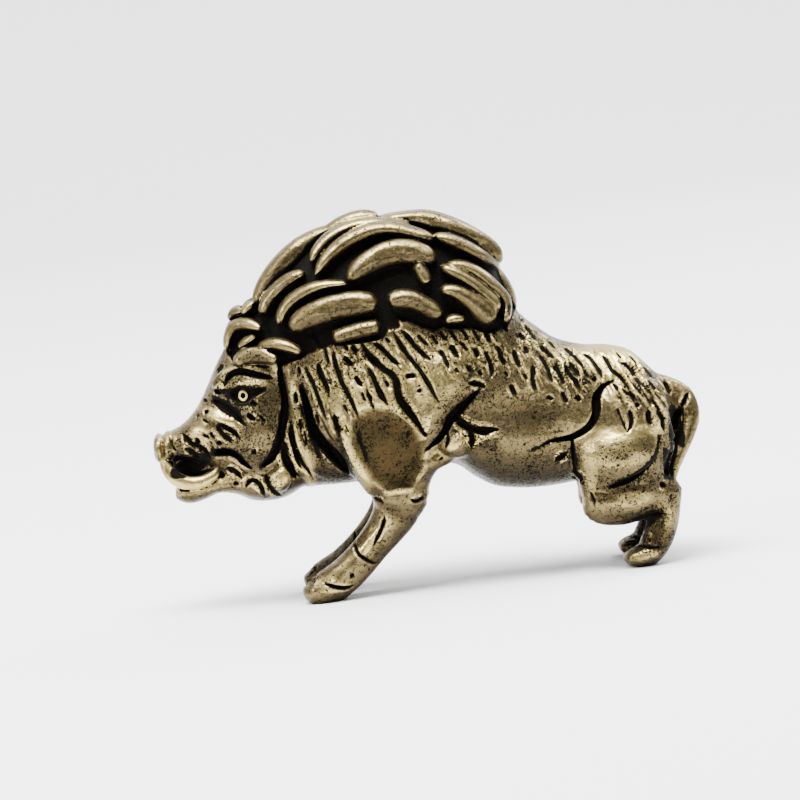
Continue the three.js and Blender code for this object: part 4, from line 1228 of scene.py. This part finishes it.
def aged_brass():
    """Brass with a black patina in its hollows and pits, painted shade and painted highlights, by the
    values kept in the mesh.
    """
    material = bpy.data.materials.new("aged_brass")
    material.use_nodes = True
    tree = material.node_tree
    nodes, links = tree.nodes, tree.links
    shader = nodes["Principled BSDF"]

    def value(name):
        node = nodes.new("ShaderNodeAttribute")
        node.attribute_name = name
        return node.outputs["Fac"]

    def math_node(kind, a, b=0.0, c=0.0, clamp=False):
        node = nodes.new("ShaderNodeMath")
        node.operation = kind
        node.use_clamp = clamp
        for socket, given in zip(node.inputs, (a, b, c)):
            if isinstance(given, (int, float)):
                socket.default_value = given
            else:
                links.new(given, socket)
        return node.outputs[0]

    def ranged(given, start, end, smooth=True):
        node = nodes.new("ShaderNodeMapRange")
        node.interpolation_type = "SMOOTHSTEP" if smooth else "LINEAR"
        links.new(given, node.inputs["Value"])
        node.inputs["From Min"].default_value = start
        node.inputs["From Max"].default_value = end
        return node.outputs["Result"]

    def noise(scale, detail=3.0, rough=0.55):
        node = nodes.new("ShaderNodeTexNoise")
        node.inputs["Scale"].default_value = scale
        node.inputs["Detail"].default_value = detail
        node.inputs["Roughness"].default_value = rough
        links.new(spot, node.inputs["Vector"])
        return node.outputs["Fac"]

    def mixed(share, first, second):
        node = nodes.new("ShaderNodeMix")
        node.data_type = "RGBA"
        links.new(share, node.inputs["Factor"])
        for socket, given in ((node.inputs["A"], first), (node.inputs["B"], second)):
            if isinstance(given, tuple):
                socket.default_value = (*given, 1)
            else:
                links.new(given, socket)
        return node.outputs["Result"]

    spot = nodes.new("ShaderNodeTexCoord").outputs["Object"]
    flat = nodes.new("ShaderNodeVectorMath")
    flat.operation = "MULTIPLY_ADD"
    links.new(spot, flat.inputs[0])
    flat.inputs[1].default_value = (1 / millimetre, 0, eye_tall / millimetre)
    flat.inputs[2].default_value = (-eye_x * percent, 0, -eye_tall * eye_up)
    from_eye = nodes.new("ShaderNodeVectorMath")
    from_eye.operation = "LENGTH"
    links.new(flat.outputs[0], from_eye.inputs[0])
    from_ring = math_node("ABSOLUTE", math_node("SUBTRACT", from_eye.outputs["Value"], eye_ring))
    pale_ring = ranged(from_ring, eye_ring_half, 0.5 * eye_ring_half)
    hollow = ranged(value("closed_in"), 0.28, 0.62)
    cut = ranged(value("cut_depth"), -0.04, -0.14)
    ridge = ranged(value("sticks_out"), 0.25, 0.75)
    grainy = noise(2600, 4, 0.6)
    cloudy = noise(380, 3)
    coarse = math_node("MULTIPLY", noise(3400, 3, 0.6), 0.45)
    speckle = math_node("MULTIPLY_ADD", noise(8200, 2, 0.6), 0.55, coarse)
    uneven = math_node("MULTIPLY_ADD", grainy, 0.6, -0.3)
    kept = math_node("MAXIMUM", hollow, cut)
    # Black patina in the hollows, cuts and gaps. Under the locks and on the inner faces of the legs it is
    # painted shade.
    for name in ("mane_gap_and_lock_shade", "soot", "deep"):
        kept = math_node("MAXIMUM", kept, value(name))
    kept = math_node("MULTIPLY_ADD", value("inner"), 0.3, kept, True)
    black = ranged(math_node("ADD", kept, uneven), 0.28, 0.58)
    pit_edge = math_node("MULTIPLY_ADD", value("near_cuts"), -0.05, 0.59)
    more_pits = [(kept, -0.08), (value("brown"), -0.01), (value("grime_and_shade"), -0.05)]
    fewer_pits = [(ridge, 0.04), (value("polish_and_highlight"), 0.08)]
    for given, amount in more_pits + fewer_pits:
        pit_edge = math_node("MULTIPLY_ADD", given, amount, pit_edge)
    pit_edge = math_node("MULTIPLY_ADD", cloudy, -0.14, math_node("ADD", pit_edge, 0.05))
    pit = ranged(math_node("SUBTRACT", speckle, pit_edge), -0.035, 0.035)
    # Painted shade on faces that hang down, with a dull film that comes and goes with the noise.
    shaded = ranged(value("underside_shade"), 0.0, 0.5)
    clouds = math_node("MULTIPLY", ranged(cloudy, 0.4, 0.66), 0.5)
    dull_film_and_shade = math_node("MULTIPLY_ADD", shaded, 0.85, clouds, True)
    dull_film_and_shade = math_node("MAXIMUM", dull_film_and_shade, math_node("MULTIPLY", ranged(grainy, 0.48, 0.62), 0.5))
    # Grime and painted shade in the listed ovals.
    dull_film_and_shade = math_node("MULTIPLY_ADD", value("grime_and_shade"), 0.3, dull_film_and_shade, True)
    # Painted shade on the inner faces of the legs.
    dull_film_and_shade = math_node("MULTIPLY_ADD", value("inner"), 1.2, dull_film_and_shade, True)
    brass = mixed(dull_film_and_shade, worn_brass, dull_and_shaded_brass)
    # Polish and painted highlights in the listed ovals make the brass brighter, as do the rubbed ridges
    # and rims.
    polish_highlight_share = math_node("MULTIPLY", value("polish_and_highlight"), 0.8)
    shine = math_node("MAXIMUM", math_node("MULTIPLY", ridge, 0.48), polish_highlight_share)
    rim = math_node("MULTIPLY", ranged(value("cut_depth"), 0.035, 0.1), 0.9)
    shine = math_node("MAXIMUM", shine, rim)
    brass = mixed(shine, brass, rubbed_and_highlit_brass)
    stain = mixed(ranged(cloudy, 0.4, 0.6), *brown_film)
    brass = mixed(math_node("MULTIPLY", value("brown"), 0.92), brass, stain)
    # Patina black and painted shade, together with the pits.
    black_and_shade = math_node("MAXIMUM", black, pit)
    black_and_shade = math_node("MINIMUM", black_and_shade, math_node("SUBTRACT", 1.0, pale_ring))
    links.new(mixed(black_and_shade, brass, patina_and_shade_black), shader.inputs["Base Color"])
    shader.inputs["Metallic"].default_value = 1.0
    rough = math_node("MULTIPLY_ADD", cloudy, 0.16, 0.22)
    links.new(math_node("MULTIPLY_ADD", black_and_shade, 0.4, rough, True), shader.inputs["Roughness"])
    bump = nodes.new("ShaderNodeBump")
    bump.inputs["Strength"].default_value = 0.7
    bump.inputs["Distance"].default_value = 0.00007
    dents = math_node("MULTIPLY_ADD", noise(1300, 2), 1.1, math_node("MULTIPLY", grainy, 0.4))
    surface = math_node("SUBTRACT", dents, math_node("MULTIPLY", pit, 0.5))
    links.new(surface, bump.inputs["Height"])
    links.new(bump.outputs["Normal"], shader.inputs["Normal"])
    return material


eye_up = up_at(eye_z, skin_at(eye_x, eye_z))
boar.data.materials.clear()
boar.data.materials.append(aged_brass())
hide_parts("boar")
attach(boar, "root")
print("material nodes:", len(boar.data.materials[0].node_tree.nodes))

# %% [markdown]
# ## Floor, light and camera
# The boar stands on a plain pale floor that runs up behind it. Brass shows what it mirrors, so
# the light is a broad soft box above and in front, a low one from the left, and a pale room.

# %% The floor
def pale_floor():
    """A floor with a curved rise behind, far larger than the boar."""
    half, front, back, rise = 1.5, 1.5, 0.9, 1.2
    turn = 0.35
    profile = [(-front, 0.0), (back - turn, 0.0)]
    for i in range(1, 13):
        a = math.pi / 2 * i / 12
        profile.append((back - turn + turn * math.sin(a), turn - turn * math.cos(a)))
    profile.append((back, rise))
    corners = [(x, y, z) for y, z in profile for x in (-half, half)]
    faces = [(2 * i, 2 * i + 1, 2 * i + 3, 2 * i + 2) for i in range(len(profile) - 1)]
    mesh = bpy.data.meshes.new("pale_floor")
    mesh.from_pydata(corners, [], faces)
    mesh.shade_smooth()
    floor = bpy.data.objects.new("pale_floor", mesh)
    bpy.context.scene.collection.objects.link(floor)
    material = bpy.data.materials.new("pale_floor")
    material.use_nodes = True
    shader = material.node_tree.nodes["Principled BSDF"]
    shader.inputs["Base Color"].default_value = (0.76, 0.76, 0.76, 1)
    shader.inputs["Roughness"].default_value = 0.8
    mesh.materials.append(material)
    return floor


floor = pale_floor()


# %% Lights
def soft_box(name, place, aim, size, power):
    """A square area light that points at a place."""
    data = bpy.data.lights.new(name, "AREA")
    data.size = size
    data.energy = power
    lamp = bpy.data.objects.new(name, data)
    lamp.location = place
    lamp.rotation_euler = (Vector(aim) - Vector(place)).to_track_quat("-Z", "Y").to_euler()
    bpy.context.scene.collection.objects.link(lamp)
    return lamp


middle = Vector((0, 0, 0.017))
soft_box("overhead", (-0.05, -0.12, 0.42), middle, 0.2, 5.0)
soft_box("left_front", (-0.42, -0.2, 0.26), middle, 0.14, 1.8)
soft_box("rear", (0.3, 0.3, 0.35), middle, 0.2, 2.0)
soft_box("backdrop_light", (0, 0.1, 0.9), (0, 0.7, 0.2), 0.8, 30.0)


def pale_room():
    """A bright room with a dark window where the photographer stands, seen mirrored in the metal."""
    world = bpy.data.worlds.new("pale_room")
    world.use_nodes = True
    nodes, links = world.node_tree.nodes, world.node_tree.links
    direction = nodes.new("ShaderNodeTexCoord").outputs["Generated"]
    split = nodes.new("ShaderNodeSeparateXYZ")
    links.new(direction, split.inputs[0])

    def ranged(given, start, end, low, high):
        node = nodes.new("ShaderNodeMapRange")
        node.interpolation_type = "SMOOTHSTEP"
        links.new(given, node.inputs["Value"])
        for name, number in zip(("From Min", "From Max", "To Min", "To Max"), (start, end, low, high)):
            node.inputs[name].default_value = number
        return node.outputs["Result"]

    def math_node(kind, a, b):
        node = nodes.new("ShaderNodeMath")
        node.operation = kind
        links.new(a, node.inputs[0])
        links.new(b, node.inputs[1])
        return node.outputs[0]

    overhead = ranged(split.outputs["Z"], 0.0, 0.8, 0.45, 1.35)
    in_front = ranged(split.outputs["Y"], -0.1, -0.6, 0.0, 0.92)
    low_down = ranged(split.outputs["Z"], 0.4, 0.75, 1.0, 0.0)
    window = math_node("MULTIPLY", in_front, low_down)
    strength = math_node("SUBTRACT", overhead, math_node("MULTIPLY", overhead, window))
    links.new(strength, nodes["Background"].inputs["Strength"])
    nodes["Background"].inputs["Color"].default_value = (1, 1, 1, 1)
    return world


bpy.context.scene.world = pale_room()

# %% [markdown]
# The camera stands level with the boar's left side, a little above it, and is rolled a little,
# because the picture is: in it the tail stands higher than the head.

# %% The camera
picture_size = 800
pixels_per_mm = 10.99
roll = math.radians(6.5)
far = 0.42
aim_x, aim_z = -4.134, 35.02
data = bpy.data.cameras.new("camera")
data.sensor_width = 36
data.lens = data.sensor_width * far / (picture_size / pixels_per_mm * millimetre)
data.clip_start = 0.01
camera = bpy.data.objects.new("camera", data)
target = Vector((aim_x * percent, -leg_spread, up_at(aim_z, leg_spread))) * millimetre
back = Vector((0, -math.cos(drawing_tilt), math.sin(drawing_tilt)))
turn = back.to_track_quat("Z", "Y").to_matrix() @ Matrix.Rotation(-roll, 3, "Z")
camera.matrix_world = Matrix.Translation(target + back * far) @ turn.to_4x4()
bpy.context.scene.collection.objects.link(camera)
bpy.context.scene.camera = camera
print("lens", round(data.lens, 1), "mm")
